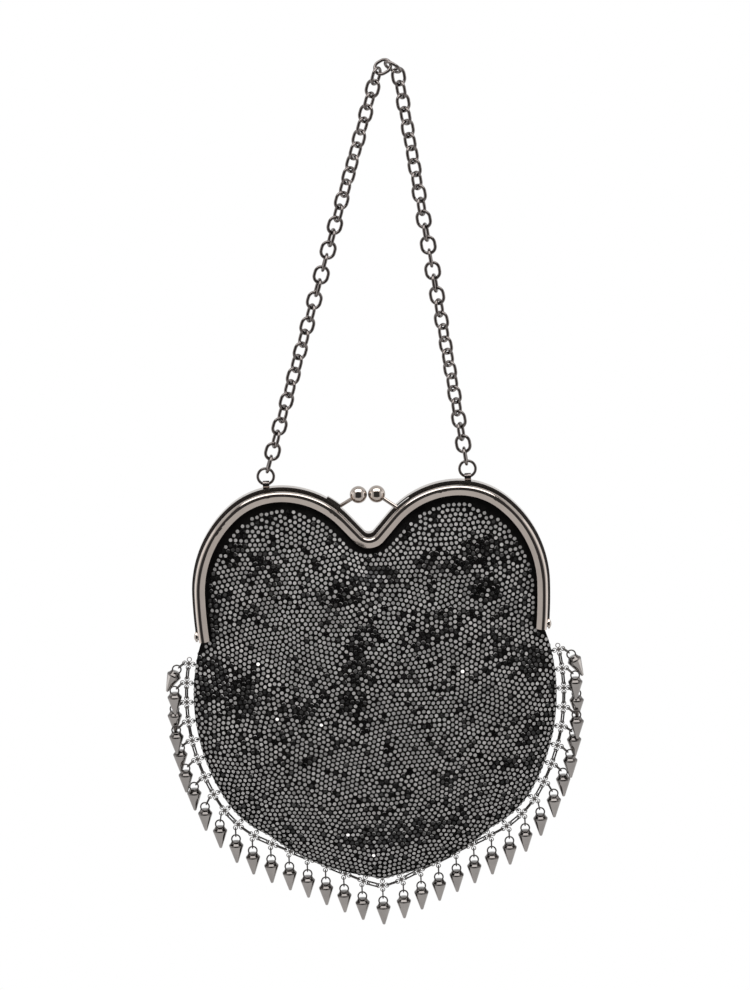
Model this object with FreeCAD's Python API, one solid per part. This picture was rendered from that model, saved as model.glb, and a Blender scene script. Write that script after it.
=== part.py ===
import FreeCAD
import Part

import math
import os

from FreeCAD import Vector

# Heart shaped evening purse with a kiss-lock frame, a chain handle and a fringe of spikes.
# Millimetres. While it is drawn, the middle of the frame's hinge axis is the origin, +X is to the
# right, -Y is the front and +Z is up. save() then moves everything so that the point where the
# chain hangs is the origin.

# Frame outline, right half, from the hinge up over the lobe and down into the notch
half_width = 88.7
widest_height = 21.6
side_radius = 220.0
shoulder_radius = 56.8
shoulder_turn = 49.1
crown_radius = 38.4
inner_crown_radius = 45.5
flank_slope = 48.5
notch_radius = 3.1
leg_drop = 2.2

# Frame section: a channel that opens towards the bag
band_width = 6.6
rear_proud = 1.3
half_depth = 7.6
parting_gap = 0.3
channel_wall = 1.0
shoulder_round = 1.9
face_slope = 28.0
lip_round = 0.45
cap_thickness = 1.0

# Frame hinge
open_angle = 60.0
ear_radius = 2.6
ear_thickness = 1.0
ear_gap = 0.3
rivet_radius = 1.2
rivet_clearance = 0.05
rivet_head_radius = 2.2
rivet_head_height = 0.8
rivet_tail_radius = 1.9
rivet_tail_height = 0.7
hinge_room = 0.35

# Kiss-lock
ball_radius = 4.3
ball_gap = 0.4
ball_height = 68.7
clasp_tab_turn = 10.0
clasp_tab_shift = 7.0
clasp_tab_thickness = 1.0
clasp_tab_width = 3.0
clasp_tab_setback = 1.0
clasp_arm_radius = 0.95

# Chain eyelets and rings
eyelet_x = 49.8
eyelet_y = 1.0
eyelet_rise = 1.95
eyelet_length = 3.2
eyelet_bore_radius = 1.3
eyelet_wall = 0.6
ring_radius = 3.95
ring_wire = 1.4
ring_lift = 0.1

# Chain handle
link_length = 9.8
link_width = 8.25
link_wire = 1.6
left_upper_links = 16
right_upper_links = 15
lower_links = 16
link_clearance = 0.12
bend_height = 102.4
hang_x = 17.9
hang_height = 281.0
top_link_pitch = 5.6
top_link_slopes = (62.0, 124.0)
lower_left_twist = 35.0
upper_twist = 60.0
lower_right_twist = -40.0

# Bag outline, right half, below the frame
bag_half_width = 90.2
bag_widest_drop = 33.2
bag_neck_radius = 100.0
bag_neck_drop = 8.4
bag_collar_drop = 4.0
bag_side_radius = 101.0
bag_side_turn = 29.5
bag_corner_radius = 48.0
bag_corner_turn = 35.5
bag_tip_radius = 14.0

# Bag layers
front_depth = 17.0
rear_depth = 19.0
frame_swell = 1.0
seam_swell = 0.62
swell_turn = 28.6
wave_rim = 0.97
wave_core = 0.25
wave_fade = 0.25
wave_piece = 30.0
rear_wave_shift = 137.0
dome_steps = 9
dome_cap = 80.0
dome_centre_drop = 22.0
dome_rounding = 1.4
rounding_start = 0.9
seam_gap = 0.3
flange_inset = 2.6
inner_flange_inset = 5.0
flange_setback = 1.4
stone_margin = 3.4
stone_edge = 1.5
stone_layer = 0.9
fabric_thickness = 0.8
stiffener_thickness = 1.0
lining_thickness = 0.5
layer_gap = 0.1
fold_start = 45.0
fold_margin = 4.0
leg_room = 0.6
paper_cord_radius = 0.55
paper_cord_sides = 6
paper_cord_inset = 4.2
paper_cord_gap = 0.3

# Broad swells of the padded faces: length, height, direction and phase of each
face_waves = (
    (70.0, 0.8, 20.0, 40.0),
    (56.0, 0.7, 110.0, 200.0),
    (47.0, 0.6, 65.0, 300.0),
    (40.0, 0.5, 155.0, 90.0),
)

# Fringe
spikes_per_side = 17
fringe_offset = 3.6
fringe_spacing = 9.9
connector_reach = 2.1
connector_ring_radius = 1.3
connector_hole_radius = 0.75
connector_thickness = 0.6
fringe_link_width = 3.0
fringe_link_wire = 0.8
fringe_link_roll = 25.0
pendant_length = 5.2
pendant_width = 3.4
pendant_wire = 0.7
pendant_clearance = 0.08
spike_loop_radius = 2.125
spike_loop_wire = 0.75
spike_loop_rise = 1.15
spike_top_radius = 2.0
spike_radius = 3.45
spike_shoulder_drop = 2.05
spike_length = 11.3
spike_tip_radius = 0.7
stagger_from = 50.0
stagger_full = 72.0
stagger_side = 1.6
stagger_out = 50.0
top_lean = 27.0

X_AXIS = Vector(1, 0, 0)
Y_AXIS = Vector(0, 1, 0)
Z_AXIS = Vector(0, 0, 1)
FRONT = -1
REAR = 1
LEFT = -1
RIGHT = 1
FAR = 400.0


def polar(centre, radius, angle):
    """Point at an angle in degrees from +X towards +Z, on a circle in the XZ plane."""
    turn = math.radians(angle)
    return (centre[0] + radius * math.cos(turn), centre[1] + radius * math.sin(turn))


def frame_centres():
    """Centres of the frame's arcs: side, shoulder, crown, inner crown and notch."""
    side = (half_width - side_radius, widest_height)
    shoulder = (half_width - shoulder_radius, widest_height)
    crown = polar(shoulder, shoulder_radius - crown_radius, shoulder_turn)
    inner = (crown[0], crown[1] + crown_radius - inner_crown_radius)
    flank_top = polar(inner, inner_crown_radius, 90 + flank_slope)
    slope = math.radians(flank_slope)
    run = (flank_top[0] - notch_radius * math.sin(slope)) / math.cos(slope)
    notch_start = flank_top[1] - run * math.sin(slope)
    notch = (0.0, notch_start + notch_radius * math.cos(slope))
    return side, shoulder, crown, inner, notch


def leg_angle():
    """Angle of the leg's end on the side arc, below the horizontal."""
    return math.degrees(math.asin((widest_height + leg_drop) / side_radius))


def arc_piece(centre, radius, start, end):
    """An arc of an outline: its two ends and its middle."""
    middle = polar(centre, radius, (start + end) / 2)
    return (polar(centre, radius, start), middle, polar(centre, radius, end))


def frame_path(inset):
    """Right half of the frame outline, moved inwards, as lines and arcs from leg to notch."""
    side, shoulder, crown, inner, notch = frame_centres()
    over = 90 + flank_slope
    flank_end = polar(notch, notch_radius + inset, flank_slope - 90)
    return [
        arc_piece(side, side_radius - inset, -leg_angle(), 0),
        arc_piece(shoulder, shoulder_radius - inset, 0, shoulder_turn),
        arc_piece(crown, crown_radius - inset, shoulder_turn, 90),
        arc_piece(inner, inner_crown_radius - inset, 90, over),
        (polar(inner, inner_crown_radius - inset, over), flank_end),
        arc_piece(notch, notch_radius + inset, flank_slope - 90, -90),
    ]


def bag_centres():
    """Centres of the bag's lower arcs: neck, side, corner and tip, and the tip's slope."""
    widest = -bag_widest_drop
    neck = (bag_half_width - bag_neck_radius, widest)
    side = (bag_half_width - bag_side_radius, widest)
    corner = polar(side, bag_side_radius - bag_corner_radius, -bag_side_turn)
    turn = bag_side_turn + bag_corner_turn
    slope = 90 - turn
    line_top = polar(corner, bag_corner_radius, -turn)
    line_x = bag_tip_radius * math.sin(math.radians(slope))
    line_end = line_top[1] - (line_top[0] - line_x) * math.tan(math.radians(slope))
    tip = (0.0, line_end + bag_tip_radius * math.cos(math.radians(slope)))
    return neck, side, corner, tip, slope


def neck_angle():
    """Angle of the neck's top on the neck arc."""
    return math.degrees(math.asin((bag_widest_drop - bag_neck_drop) / bag_neck_radius))


def bag_path(inset):
    """Right half of the bag's lower outline from the tip up to the neck."""
    neck, side, corner, tip, slope = bag_centres()
    turn = bag_side_turn + bag_corner_turn
    return [
        arc_piece(tip, bag_tip_radius - inset, -90, -90 + slope),
        (polar(tip, bag_tip_radius - inset, -turn), polar(corner, bag_corner_radius - inset, -turn)),
        arc_piece(corner, bag_corner_radius - inset, -turn, -bag_side_turn),
        arc_piece(side, bag_side_radius - inset, -bag_side_turn, 0),
        arc_piece(neck, bag_neck_radius - inset, 0, neck_angle()),
    ]


def panel_path(inset, edge):
    """Right half of a whole panel outline: up the bag's edge, then over the frame."""
    lower = bag_path(edge)
    upper = frame_path(inset)
    neck_top = lower[-1][-1]
    leg_end = upper[0][0]
    collar = (leg_end[0], -bag_collar_drop)
    return lower + [(neck_top, collar), (collar, leg_end)] + upper


def short_pieces(path):
    """The same outline with its long lines and arcs halved, so that it can follow the swells."""
    pieces = []
    for piece in path:
        ends = [Vector(x, 0, z) for x, z in piece]
        if (ends[-1] - ends[0]).Length < wave_piece:
            pieces.append(piece)
            continue
        count = 2 * len(piece) - 1
        curve = Part.LineSegment(*ends) if len(piece) == 2 else Part.Arc(*ends)
        points = curve.toShape().discretize(Number=count)
        cut = [(point.x, point.z) for point in points]
        pieces += [tuple(cut[:len(piece)]), tuple(cut[len(piece) - 1:])]
    return pieces


def profile_power(point):
    """How full the padded face is at its rim: fuller at the seam than at the frame."""
    angle = math.degrees(math.atan2(point[1] + dome_centre_drop, abs(point[0])))
    share = min(max(angle / swell_turn + 0.5, 0.0), 1.0)
    return seam_swell + (frame_swell - seam_swell) * share ** 2 * (3 - 2 * share)


def face_wave(x, z, facing):
    """Height of the broad swells and dents of one padded face."""
    shift = rear_wave_shift if facing == REAR else 0.0
    total = 0.0
    for length, height, direction, phase in face_waves:
        turn = math.radians(direction)
        along = x * math.cos(turn) + z * math.sin(turn)
        total += height * math.cos(2 * math.pi * along / length + math.radians(phase + shift))
    return total


def wave_share(share):
    """How much of the swells is left: none at the rim and on the flat crown."""
    outer = min(max((wave_rim - share) / wave_fade, 0.0), 1.0)
    return outer * min(max((share - wave_core) / wave_fade, 0.0), 1.0)


def closed_wire(path, rise, shrink, facing, level):
    """Closed wire of a right half outline and its mirror, where the padded face has a certain rise.

    Well inside the rim it comes nearer to a circle, so the notch fades towards the crown.
    """
    def place(point, side):
        x, z = side * point[0], point[1] + dome_centre_drop
        share = math.sqrt(1 - rise ** (1 / profile_power(point)))
        roundness = min(max(dome_rounding * (rounding_start - share), 0.0), 1.0)
        reach = share * (1 + roundness * (bag_half_width / math.hypot(x, z) - 1))
        wave = wave_share(share) * face_wave(x * reach, z * reach - dome_centre_drop, facing)
        reach *= shrink
        return Vector(x * reach, facing * (level + wave), z * reach - dome_centre_drop)

    edges = []
    for side in (RIGHT, LEFT):
        for piece in path:
            points = [place(point, side) for point in piece]
            if len(points) == 2:
                edges.append(Part.LineSegment(*points).toShape())
            else:
                edges.append(Part.Arc(*points).toShape())
    return Part.Wire(Part.__sortEdges__(edges))


def mirrored(shape):
    """The same shape on the other side of the middle plane."""
    return shape.mirror(Vector(0, 0, 0), X_AXIS)


def rounded_face(corners, place):
    """Face from corners (u, v, radius), laid out by place(u, v)."""
    count = len(corners)
    starts, ends, middles = [], [], []
    for index, (u, v, radius) in enumerate(corners):
        before = corners[index - 1]
        after = corners[(index + 1) % count]
        to_before = Vector(before[0] - u, before[1] - v, 0).normalize()
        to_after = Vector(after[0] - u, after[1] - v, 0).normalize()
        half = to_before.getAngle(to_after) / 2
        corner = Vector(u, v, 0)
        cut = radius / math.tan(half)
        starts.append(corner + to_before * cut)
        ends.append(corner + to_after * cut)
        bisector = (to_before + to_after).normalize()
        middles.append(corner + bisector * (radius / math.sin(half) - radius))
    edges = []
    for index, (_, _, radius) in enumerate(corners):
        if radius > 0:
            arc = [place(p.x, p.y) for p in (starts[index], middles[index], ends[index])]
            edges.append(Part.Arc(*arc).toShape())
        line = [place(p.x, p.y) for p in (ends[index], starts[(index + 1) % count])]
        edges.append(Part.LineSegment(*line).toShape())
    return Part.Face(Part.Wire(edges))


def arc_sweep(corners, centre, radius, start, end):
    """A section swept round an arc of the frame. Its u runs from the outline towards the bag."""
    inwards = -1 if end > start else 1
    turn = math.radians(start)
    out = Vector(math.cos(turn), 0, math.sin(turn))
    middle = Vector(centre[0], 0, centre[1])
    face = rounded_face(corners, lambda u, y: middle + out * (radius + inwards * u) + Y_AXIS * y)
    return face.revolve(middle, Y_AXIS * inwards, abs(end - start))


def flank_sweep(corners):
    """A section swept along the straight flank beside the notch."""
    inner = frame_centres()[3]
    turn = math.radians(90 + flank_slope)
    out = Vector(math.cos(turn), 0, math.sin(turn))
    base = Vector(inner[0], 0, inner[1])
    start, end = frame_path(0)[4]
    run = Vector(end[0] - start[0], 0, end[1] - start[1])
    face = rounded_face(corners, lambda u, y: base + out * (inner_crown_radius - u) + Y_AXIS * y)
    return face.extrude(run)


def frame_band(corners):
    """A section swept along the whole frame, from one leg's end to the other's."""
    side, shoulder, crown, inner, notch = frame_centres()
    pieces = [
        arc_sweep(corners, side, side_radius, -leg_angle(), 0),
        arc_sweep(corners, shoulder, shoulder_radius, 0, shoulder_turn),
        arc_sweep(corners, crown, crown_radius, shoulder_turn, 90),
        arc_sweep(corners, inner, inner_crown_radius, 90, 90 + flank_slope),
        flank_sweep(corners),
        arc_sweep(corners, notch, notch_radius, flank_slope - 90, -90),
    ]
    pieces += [mirrored(piece) for piece in pieces]
    return pieces[0].multiFuse(pieces[1:]).removeSplitter()


def half_inset(facing):
    """How far a frame half's outer face lies inside the widest outline."""
    return rear_proud if facing == FRONT else 0.0


def face_level(inset):
    """Depth of a half's sloped face in front of or behind the parting plane."""
    fall = math.tan(math.radians(face_slope)) * (inset - rear_proud)
    return parting_gap / 2 + half_depth - fall


def wall_rise():
    """Thickness of the sloped wall, measured square to the parting plane."""
    return channel_wall / math.cos(math.radians(face_slope))


def channel_section(facing):
    """Section of one frame half: an open channel with a rounded ridge and a sloped face."""
    outer = half_inset(facing)
    inside = outer + channel_wall
    near = parting_gap / 2
    lip = face_level(band_width)
    corners = [
        (outer, near, 0),
        (outer, face_level(outer), shoulder_round),
        (band_width, lip, lip_round),
        (band_width, lip - wall_rise(), 0),
        (inside, face_level(inside) - wall_rise(), shoulder_round - channel_wall),
        (inside, near + channel_wall, 0),
        (band_width, near + channel_wall, 0),
        (band_width, near, 0),
    ]
    return [(u, facing * y, radius) for u, y, radius in corners]


def cap_section(facing):
    """Section of the plate that closes a leg's end."""
    outer = half_inset(facing)
    near = parting_gap / 2
    corners = [
        (outer, near, 0),
        (outer, face_level(outer), shoulder_round),
        (band_width, face_level(band_width), lip_round),
        (band_width, near, 0),
    ]
    return [(u, facing * y, radius) for u, y, radius in corners]


def side_x(height):
    """X of the widest frame outline at a height on the side arc."""
    rise = widest_height - height
    return half_width - side_radius + math.sqrt(side_radius ** 2 - rise ** 2)


def ear_span(facing):
    """Lowest and highest X of a hinge ear. The rear ear lies outside the front leg."""
    front_wall = side_x(ear_radius) - rear_proud
    if facing == REAR:
        return front_wall + ear_gap, front_wall + ear_gap + ear_thickness
    return front_wall - ear_thickness - ear_gap, front_wall - ear_gap


def disc_between(low, high, radius):
    """Round bar along the hinge axis."""
    return Part.makeCylinder(radius, high - low, Vector(low, 0, 0), X_AXIS)


def prism(points, low_x, high_x):
    """Straight bar along X whose end is a polygon of (y, z) points."""
    corners = [Vector(low_x, y, z) for y, z in points]
    return Part.Face(Part.makePolygon(corners + corners[:1])).extrude(X_AXIS * (high_x - low_x))


def frame_half(facing):
    """One half of the frame, with its closed leg ends and its hinge ears."""
    side = frame_centres()[0]
    cap_turn = math.degrees(cap_thickness / side_radius)
    cap = arc_sweep(cap_section(facing), side, side_radius, -leg_angle(), cap_turn - leg_angle())
    body = frame_band(channel_section(facing)).multiFuse([cap, mirrored(cap)])
    relief = math.tan(math.radians(open_angle / 2 + fold_margin))
    drop = leg_drop + band_width
    reach = facing * (drop * relief + parting_gap / 2)
    wedge = prism([(0, 0), (facing * parting_gap / 2, 0), (reach, -drop), (0, -drop)], 0, FAR)
    cuts = [wedge, mirrored(wedge)]
    room_radius = ear_radius if facing == REAR else rivet_tail_radius
    room = disc_between(0, ear_span(FRONT)[1] + ear_gap, room_radius + hinge_room)
    body = body.cut(cuts + [room, mirrored(room)])
    low, high = ear_span(facing)
    ear = disc_between(low, high, ear_radius)
    hole = disc_between(low - 1, high + 1, rivet_radius + rivet_clearance)
    body = body.multiFuse([ear, mirrored(ear)]).cut([hole, mirrored(hole)])
    return body.removeSplitter()


def hinge_rivets():
    """Two rivets with a domed head outside and a flat tail inside."""
    tail_end = ear_span(FRONT)[0] - rivet_clearance
    head_base = ear_span(REAR)[1] + rivet_clearance
    tail_base = tail_end - rivet_tail_height
    crown = Vector(head_base + rivet_head_height, 0, 0)
    dome_radius = (rivet_head_radius ** 2 + rivet_head_height ** 2) / (2 * rivet_head_height)
    half_turn = math.asin(rivet_head_radius / dome_radius) / 2
    dome_middle = crown.x - dome_radius
    knee = Vector(dome_middle + dome_radius * math.cos(half_turn), 0, dome_radius * math.sin(half_turn))
    dome = Part.Arc(Vector(head_base, 0, rivet_head_radius), knee, crown)
    outline = [
        Vector(tail_base, 0, 0),
        Vector(tail_base, 0, rivet_tail_radius),
        Vector(tail_end, 0, rivet_tail_radius),
        Vector(tail_end, 0, rivet_radius),
        Vector(head_base, 0, rivet_radius),
        Vector(head_base, 0, rivet_head_radius),
    ]
    edges = [Part.LineSegment(a, b).toShape() for a, b in zip(outline, outline[1:])]
    edges += [dome.toShape(), Part.LineSegment(crown, outline[0]).toShape()]
    rivet = Part.Face(Part.Wire(edges)).revolve(Vector(0, 0, 0), X_AXIS, 360)
    return Part.makeCompound([rivet, mirrored(rivet)])


def clasp(facing, side):
    """A ball on a bent arm, with a tab that lies on the frame's flank."""
    inner = frame_centres()[3]
    outer = half_inset(facing)
    near = facing * (parting_gap / 2 + clasp_tab_setback)
    far = near + facing * clasp_tab_width
    low, high = sorted((near, far))
    foot = outer - clasp_tab_thickness
    section = [(foot, low, 0), (outer, low, 0), (outer, high, 0), (foot, high, 0)]
    end = 90 + flank_slope - clasp_tab_shift
    tab = arc_sweep(section, inner, inner_crown_radius, end - clasp_tab_turn, end)
    elbow_height = clasp_arm_radius - outer
    elbow = polar(inner, inner_crown_radius + elbow_height, end)
    bend = Vector(elbow[0], (low + high) / 2, elbow[1])
    ball = Vector(ball_radius + ball_gap / 2, 0, ball_height)
    arm = Part.makeCylinder(clasp_arm_radius, (ball - bend).Length, bend, ball - bend)
    knee = Part.makeSphere(clasp_arm_radius, bend)
    piece = tab.multiFuse([arm, knee, Part.makeSphere(ball_radius, ball)])
    seat = Part.makeCylinder(inner_crown_radius - outer, FAR, Vector(inner[0], -FAR / 2, inner[1]), Y_AXIS)
    piece = piece.cut(seat).removeSplitter()
    return piece if side == RIGHT else mirrored(piece)


def eyelet_top():
    """Height of the frame's outline under an eyelet."""
    crown = frame_centres()[2]
    return crown[1] + math.sqrt(crown_radius ** 2 - (eyelet_x - crown[0]) ** 2)


def eyelet_axis():
    """Point on the eyelet's bore axis, on the right lobe."""
    return Vector(eyelet_x, eyelet_y, eyelet_top() + eyelet_rise)


def chain_eyelets():
    """Two short tubes along X, each on a pad on top of the rear half."""
    crown = frame_centres()[2]
    axis = eyelet_axis()
    start = axis - X_AXIS * (eyelet_length / 2)
    outer = eyelet_bore_radius + eyelet_wall
    tube = Part.makeCylinder(outer, eyelet_length, start, X_AXIS)
    pad_low = parting_gap / 2 + ear_gap
    pad_depth = eyelet_y + outer - pad_low
    pad_height = eyelet_rise + eyelet_wall
    pad = Part.makeBox(eyelet_length, pad_depth, pad_height, Vector(start.x, pad_low, axis.z - pad_height))
    bore = Part.makeCylinder(eyelet_bore_radius, eyelet_length, start, X_AXIS)
    seat = Part.makeCylinder(crown_radius, FAR, Vector(crown[0], -FAR / 2, crown[1]), Y_AXIS)
    eyelet = tube.fuse(pad).cut([bore, seat]).removeSplitter()
    return Part.makeCompound([eyelet, mirrored(eyelet)])


def ring_centre(side):
    """Centre of a jump ring, which hangs up from its eyelet."""
    axis = eyelet_axis()
    return Vector(side * axis.x, axis.y, axis.z + ring_lift + ring_radius)


def jump_ring(side):
    """A round wire ring that faces the front."""
    return Part.makeTorus(ring_radius, ring_wire / 2, ring_centre(side), Y_AXIS)


def oval_link(length, width, wire):
    """A closed oval link about the origin: long along Z, wide along X."""
    bend = (width - wire) / 2
    half_run = (length - width) / 2
    section = Part.Face(Part.Wire(Part.makeCircle(wire / 2, Vector(bend, 0, half_run), Z_AXIS)))
    top = section.revolve(Vector(0, 0, half_run), Y_AXIS * -1, 180)
    low = top.mirror(Vector(0, 0, 0), Z_AXIS)
    sides = [
        Part.makeCylinder(wire / 2, 2 * half_run, Vector(x, 0, -half_run), Z_AXIS)
        for x in (-bend, bend)
    ]
    return top.multiFuse([low] + sides).removeSplitter()


def placed(shape, origin, along, across):
    """A copy whose Z lies along one direction and whose X lies across it."""
    along = Vector(along).normalize()
    across = Vector(across - along * across.dot(along)).normalize()
    normal = along.cross(across)
    matrix = FreeCAD.Matrix(
        across.x, normal.x, along.x, origin.x,
        across.y, normal.y, along.y, origin.y,
        across.z, normal.z, along.z, origin.z,
        0, 0, 0, 1,
    )
    piece = shape.copy()
    piece.Placement = FreeCAD.Placement(matrix)
    return piece


def in_plane(slope):
    """Direction in the XZ plane, from straight up towards +X."""
    turn = math.radians(slope)
    return Vector(math.sin(turn), 0, math.cos(turn))


def hang_points():
    """Ends of the two links that cross the hanging point: left, middle and right."""
    middle = Vector(hang_x, eyelet_y, hang_height)
    left = middle - in_plane(top_link_slopes[0]) * top_link_pitch
    right = middle + in_plane(top_link_slopes[1]) * top_link_pitch
    return left, middle, right


def chain_leg(side):
    """Where a leg's links meet: its ring end, its bend and its top, with its direction."""
    left, _, right = hang_points()
    top = left if side == LEFT else right
    ring = ring_centre(side)
    along = Vector(top - ring).normalize()
    hook = ring_radius - ring_wire / 2 - link_wire / 2 - link_clearance
    first_reach = hook + (link_length - link_wire) / 2
    bend_reach = bend_height / along.z
    pitch = (bend_reach - first_reach) / (lower_links - 0.5)
    foot = ring + along * (first_reach - pitch / 2)
    return foot, ring + along * bend_reach, top, along


def bend_pivot(side):
    """Middle of the end wire of the lower leg's last link, where the leg bends."""
    foot, bend, _, along = chain_leg(side)
    pitch = (bend - foot).Length / lower_links
    return bend + along * ((link_length - link_wire - pitch) / 2)


def ring_pivot(side):
    """Middle of the ring's wire where the chain pulls on it."""
    return ring_centre(side) + chain_leg(side)[3] * ring_radius


def link_run(start, end, count, first_roll, twist):
    """Links between two points, each rolled a quarter turn from the last, with a slow twist."""
    link = oval_link(link_length, link_width, link_wire)
    along = Vector(end - start).normalize()
    sideways = along.cross(Y_AXIS)
    links = []
    for index in range(count):
        middle = start + (end - start) * ((index + 0.5) / count)
        roll = math.radians(first_roll + 90 * index + twist((index + 0.5) / count))
        across = Y_AXIS * math.cos(roll) + sideways * math.sin(roll)
        links.append(placed(link, middle, along, across))
    return links


def lower_chain(side):
    """The part of a leg below its bend. Its first link holds the ring."""
    peak = lower_left_twist if side == LEFT else lower_right_twist
    foot, bend, _, _ = chain_leg(side)
    links = link_run(foot, bend, lower_links, 0, lambda share: peak * math.sin(math.pi * share))
    return Part.makeCompound(links)


def upper_chain():
    """Both legs above their bends, and the links that lie across the hanging point."""
    counts = (left_upper_links, len(top_link_slopes), right_upper_links)
    total = sum(counts)
    stretches = [(chain_leg(LEFT)[1], hang_points()[0], left_upper_links)]
    stretches += [(a, b, 1) for a, b in zip(hang_points(), hang_points()[1:])]
    stretches += [(hang_points()[2], chain_leg(RIGHT)[1], right_upper_links)]
    links = []
    for start, end, count in stretches:
        done = len(links)
        links += link_run(
            start, end, count, 90 * (lower_links + done),
            lambda share: upper_twist * math.sin(math.pi * (done + share * count) / total),
        )
    return Part.makeCompound(links)


def dome(facing, depth, inset, drop, flange):
    """Solid of a padded panel: outlines that shrink towards a flat crown."""
    path = short_pieces(panel_path(flange, 0.0))
    shrink = 1 - inset / bag_half_width
    wires = []
    for step in range(dome_steps + 1):
        rise = math.sin(math.radians(dome_cap * step / dome_steps)) ** 2
        level = seam_gap / 2 - drop + depth * rise
        wires.append(closed_wire(path, rise, shrink, facing, level))
    return Part.makeLoft(wires, True, True)


def layer(facing, depth, outer, inner, flange):
    """Shell between two depths under a panel's outer face."""
    shell = dome(facing, depth, outer, outer, flange).cut(dome(facing, depth, inner, inner, flange))
    return shell.cut(frame_room(facing))


def frame_room(facing):
    """Space that the bag leaves free: the parting walls above the hinge and the legs' ends."""
    setback = facing * flange_setback
    low_y, high_y = sorted((0, setback))
    walls = Part.makeBox(FAR, high_y - low_y, FAR, Vector(-FAR / 2, low_y, -leg_drop - leg_room))
    leg_x = side_x(0) - band_width - leg_room
    foot_height = leg_drop + cap_thickness + leg_room
    foot = Part.makeBox(FAR, FAR, foot_height, Vector(leg_x, -FAR / 2, -leg_drop - leg_room))
    heel_reach = leg_drop / math.cos(math.radians(open_angle)) + leg_room
    heel = disc_between(leg_x, FAR, heel_reach)
    return [walls, foot, mirrored(foot), heel, mirrored(heel)]


def outline_prism(inset, edge, facing):
    """Everything in front of or behind a panel outline."""
    wire = closed_wire(panel_path(inset, edge), 0.0, 1.0, facing, seam_gap / 2)
    return Part.Face(wire).extrude(Y_AXIS * (facing * FAR))


def panel_depth(facing):
    """Depth of a panel's padded face."""
    return front_depth if facing == FRONT else rear_depth


def outer_fabric(facing):
    """Outer cloth of one panel, from the frame's channel to the seam."""
    return layer(facing, panel_depth(facing), 0.0, fabric_thickness, flange_inset)


def stone_cover(facing):
    """Layer of set stones on a panel, which stops short of the frame and of the seam."""
    shell = layer(facing, panel_depth(facing), -layer_gap - stone_layer, -layer_gap, flange_inset)
    return shell.common(outline_prism(band_width + stone_margin, stone_edge, facing))


def stiffener(facing):
    """Board under the cloth that gives the panel its form."""
    top = fabric_thickness + layer_gap
    shell = layer(facing, panel_depth(facing), top, top + stiffener_thickness, flange_inset)
    return shell.common(outline_prism(inner_flange_inset, 0.0, facing))


def lining(facing):
    """Satin on the inside of one panel."""
    top = fabric_thickness + stiffener_thickness + 2 * layer_gap
    shell = layer(facing, panel_depth(facing), top, top + lining_thickness, flange_inset)
    return shell.common(outline_prism(inner_flange_inset, 0.0, facing))


def fold_sector(start, end):
    """Space in front of the hinge axis between two angles, counted from straight up."""
    def ray(angle):
        turn = math.radians(angle)
        return (-FAR * math.sin(turn), FAR * math.cos(turn))

    middle = (start + end) / 2
    return prism([(0, 0), ray(start), ray(middle), ray(end)], -FAR / 2, FAR / 2)


def front_stiffener_upper():
    """The front board above the fold. It turns with the front half of the frame."""
    return stiffener(FRONT).common(fold_sector(0, fold_start))


def front_stiffener_lower():
    """The front board below the fold, clear of the legs when the frame opens."""
    fold_end = fold_start + open_angle + fold_margin
    board = stiffener(FRONT).common(fold_sector(fold_end, 180))
    sweep = math.hypot(parting_gap / 2 + half_depth, leg_drop + cap_thickness) + leg_room
    room = disc_between(side_x(0) - band_width - 2 * leg_room, FAR, sweep)
    return board.cut([room, mirrored(room)])


def paper_cord(facing):
    """Twisted paper that wedges the cloth in the channel."""
    roof = face_level(paper_cord_inset + paper_cord_radius) - wall_rise()
    level = roof - paper_cord_gap - paper_cord_radius
    centre = (paper_cord_inset, facing * level)
    corners = [polar(centre, paper_cord_radius, step * 360 / paper_cord_sides) for step in range(paper_cord_sides)]
    cord = frame_band([(u, y, 0) for u, y in corners])
    return cord.cut(frame_room(facing)[1:])


def fringe_stations():
    """Centre and outward slope of each fringe connector, from the left to the right."""
    neck, side, corner, tip, slope = bag_centres()
    turn = bag_side_turn + bag_corner_turn
    line_run = bag_path(0)[1]
    run = math.hypot(line_run[1][0] - line_run[0][0], line_run[1][1] - line_run[0][1])
    arcs = [
        (tip, bag_tip_radius, -90, -turn),
        None,
        (corner, bag_corner_radius, -turn, -bag_side_turn),
        (side, bag_side_radius, -bag_side_turn, 0),
        (neck, bag_neck_radius, 0, 90),
    ]
    right = []
    for index in range(spikes_per_side + 1):
        left_over = index * fringe_spacing
        for arc in arcs:
            if arc is None:
                if left_over <= run:
                    start = polar(tip, bag_tip_radius + fringe_offset, -turn)
                    slope_turn = math.radians(slope)
                    x = start[0] + left_over * math.cos(slope_turn)
                    right.append((x, start[1] + left_over * math.sin(slope_turn), -turn))
                    break
                left_over -= run
                continue
            centre, radius, start, end = arc
            length = (radius + fringe_offset) * math.radians(end - start)
            if left_over <= length:
                angle = start + math.degrees(left_over / (radius + fringe_offset))
                x, z = polar(centre, radius + fringe_offset, angle)
                right.append((x, z, angle))
                break
            left_over -= length
    left = [(-x, z, 180 - angle) for x, z, angle in right[:0:-1]]
    return left + right


def connector():
    """Stamped plate of four rings, in the XZ plane about the origin."""
    base = Vector(0, -connector_thickness / 2, 0)
    spots = [Vector(*polar((0, 0), connector_reach, turn), 0) for turn in (0, 90, 180, 270)]
    spots = [Vector(spot.x, base.y, spot.y) for spot in spots]
    middle = Part.makeCylinder(connector_ring_radius, connector_thickness, base, Y_AXIS)
    rings = [Part.makeCylinder(connector_ring_radius, connector_thickness, spot, Y_AXIS) for spot in spots]
    holes = [Part.makeCylinder(connector_hole_radius, connector_thickness, spot, Y_AXIS) for spot in spots]
    return middle.multiFuse(rings).cut(holes).removeSplitter()


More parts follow.
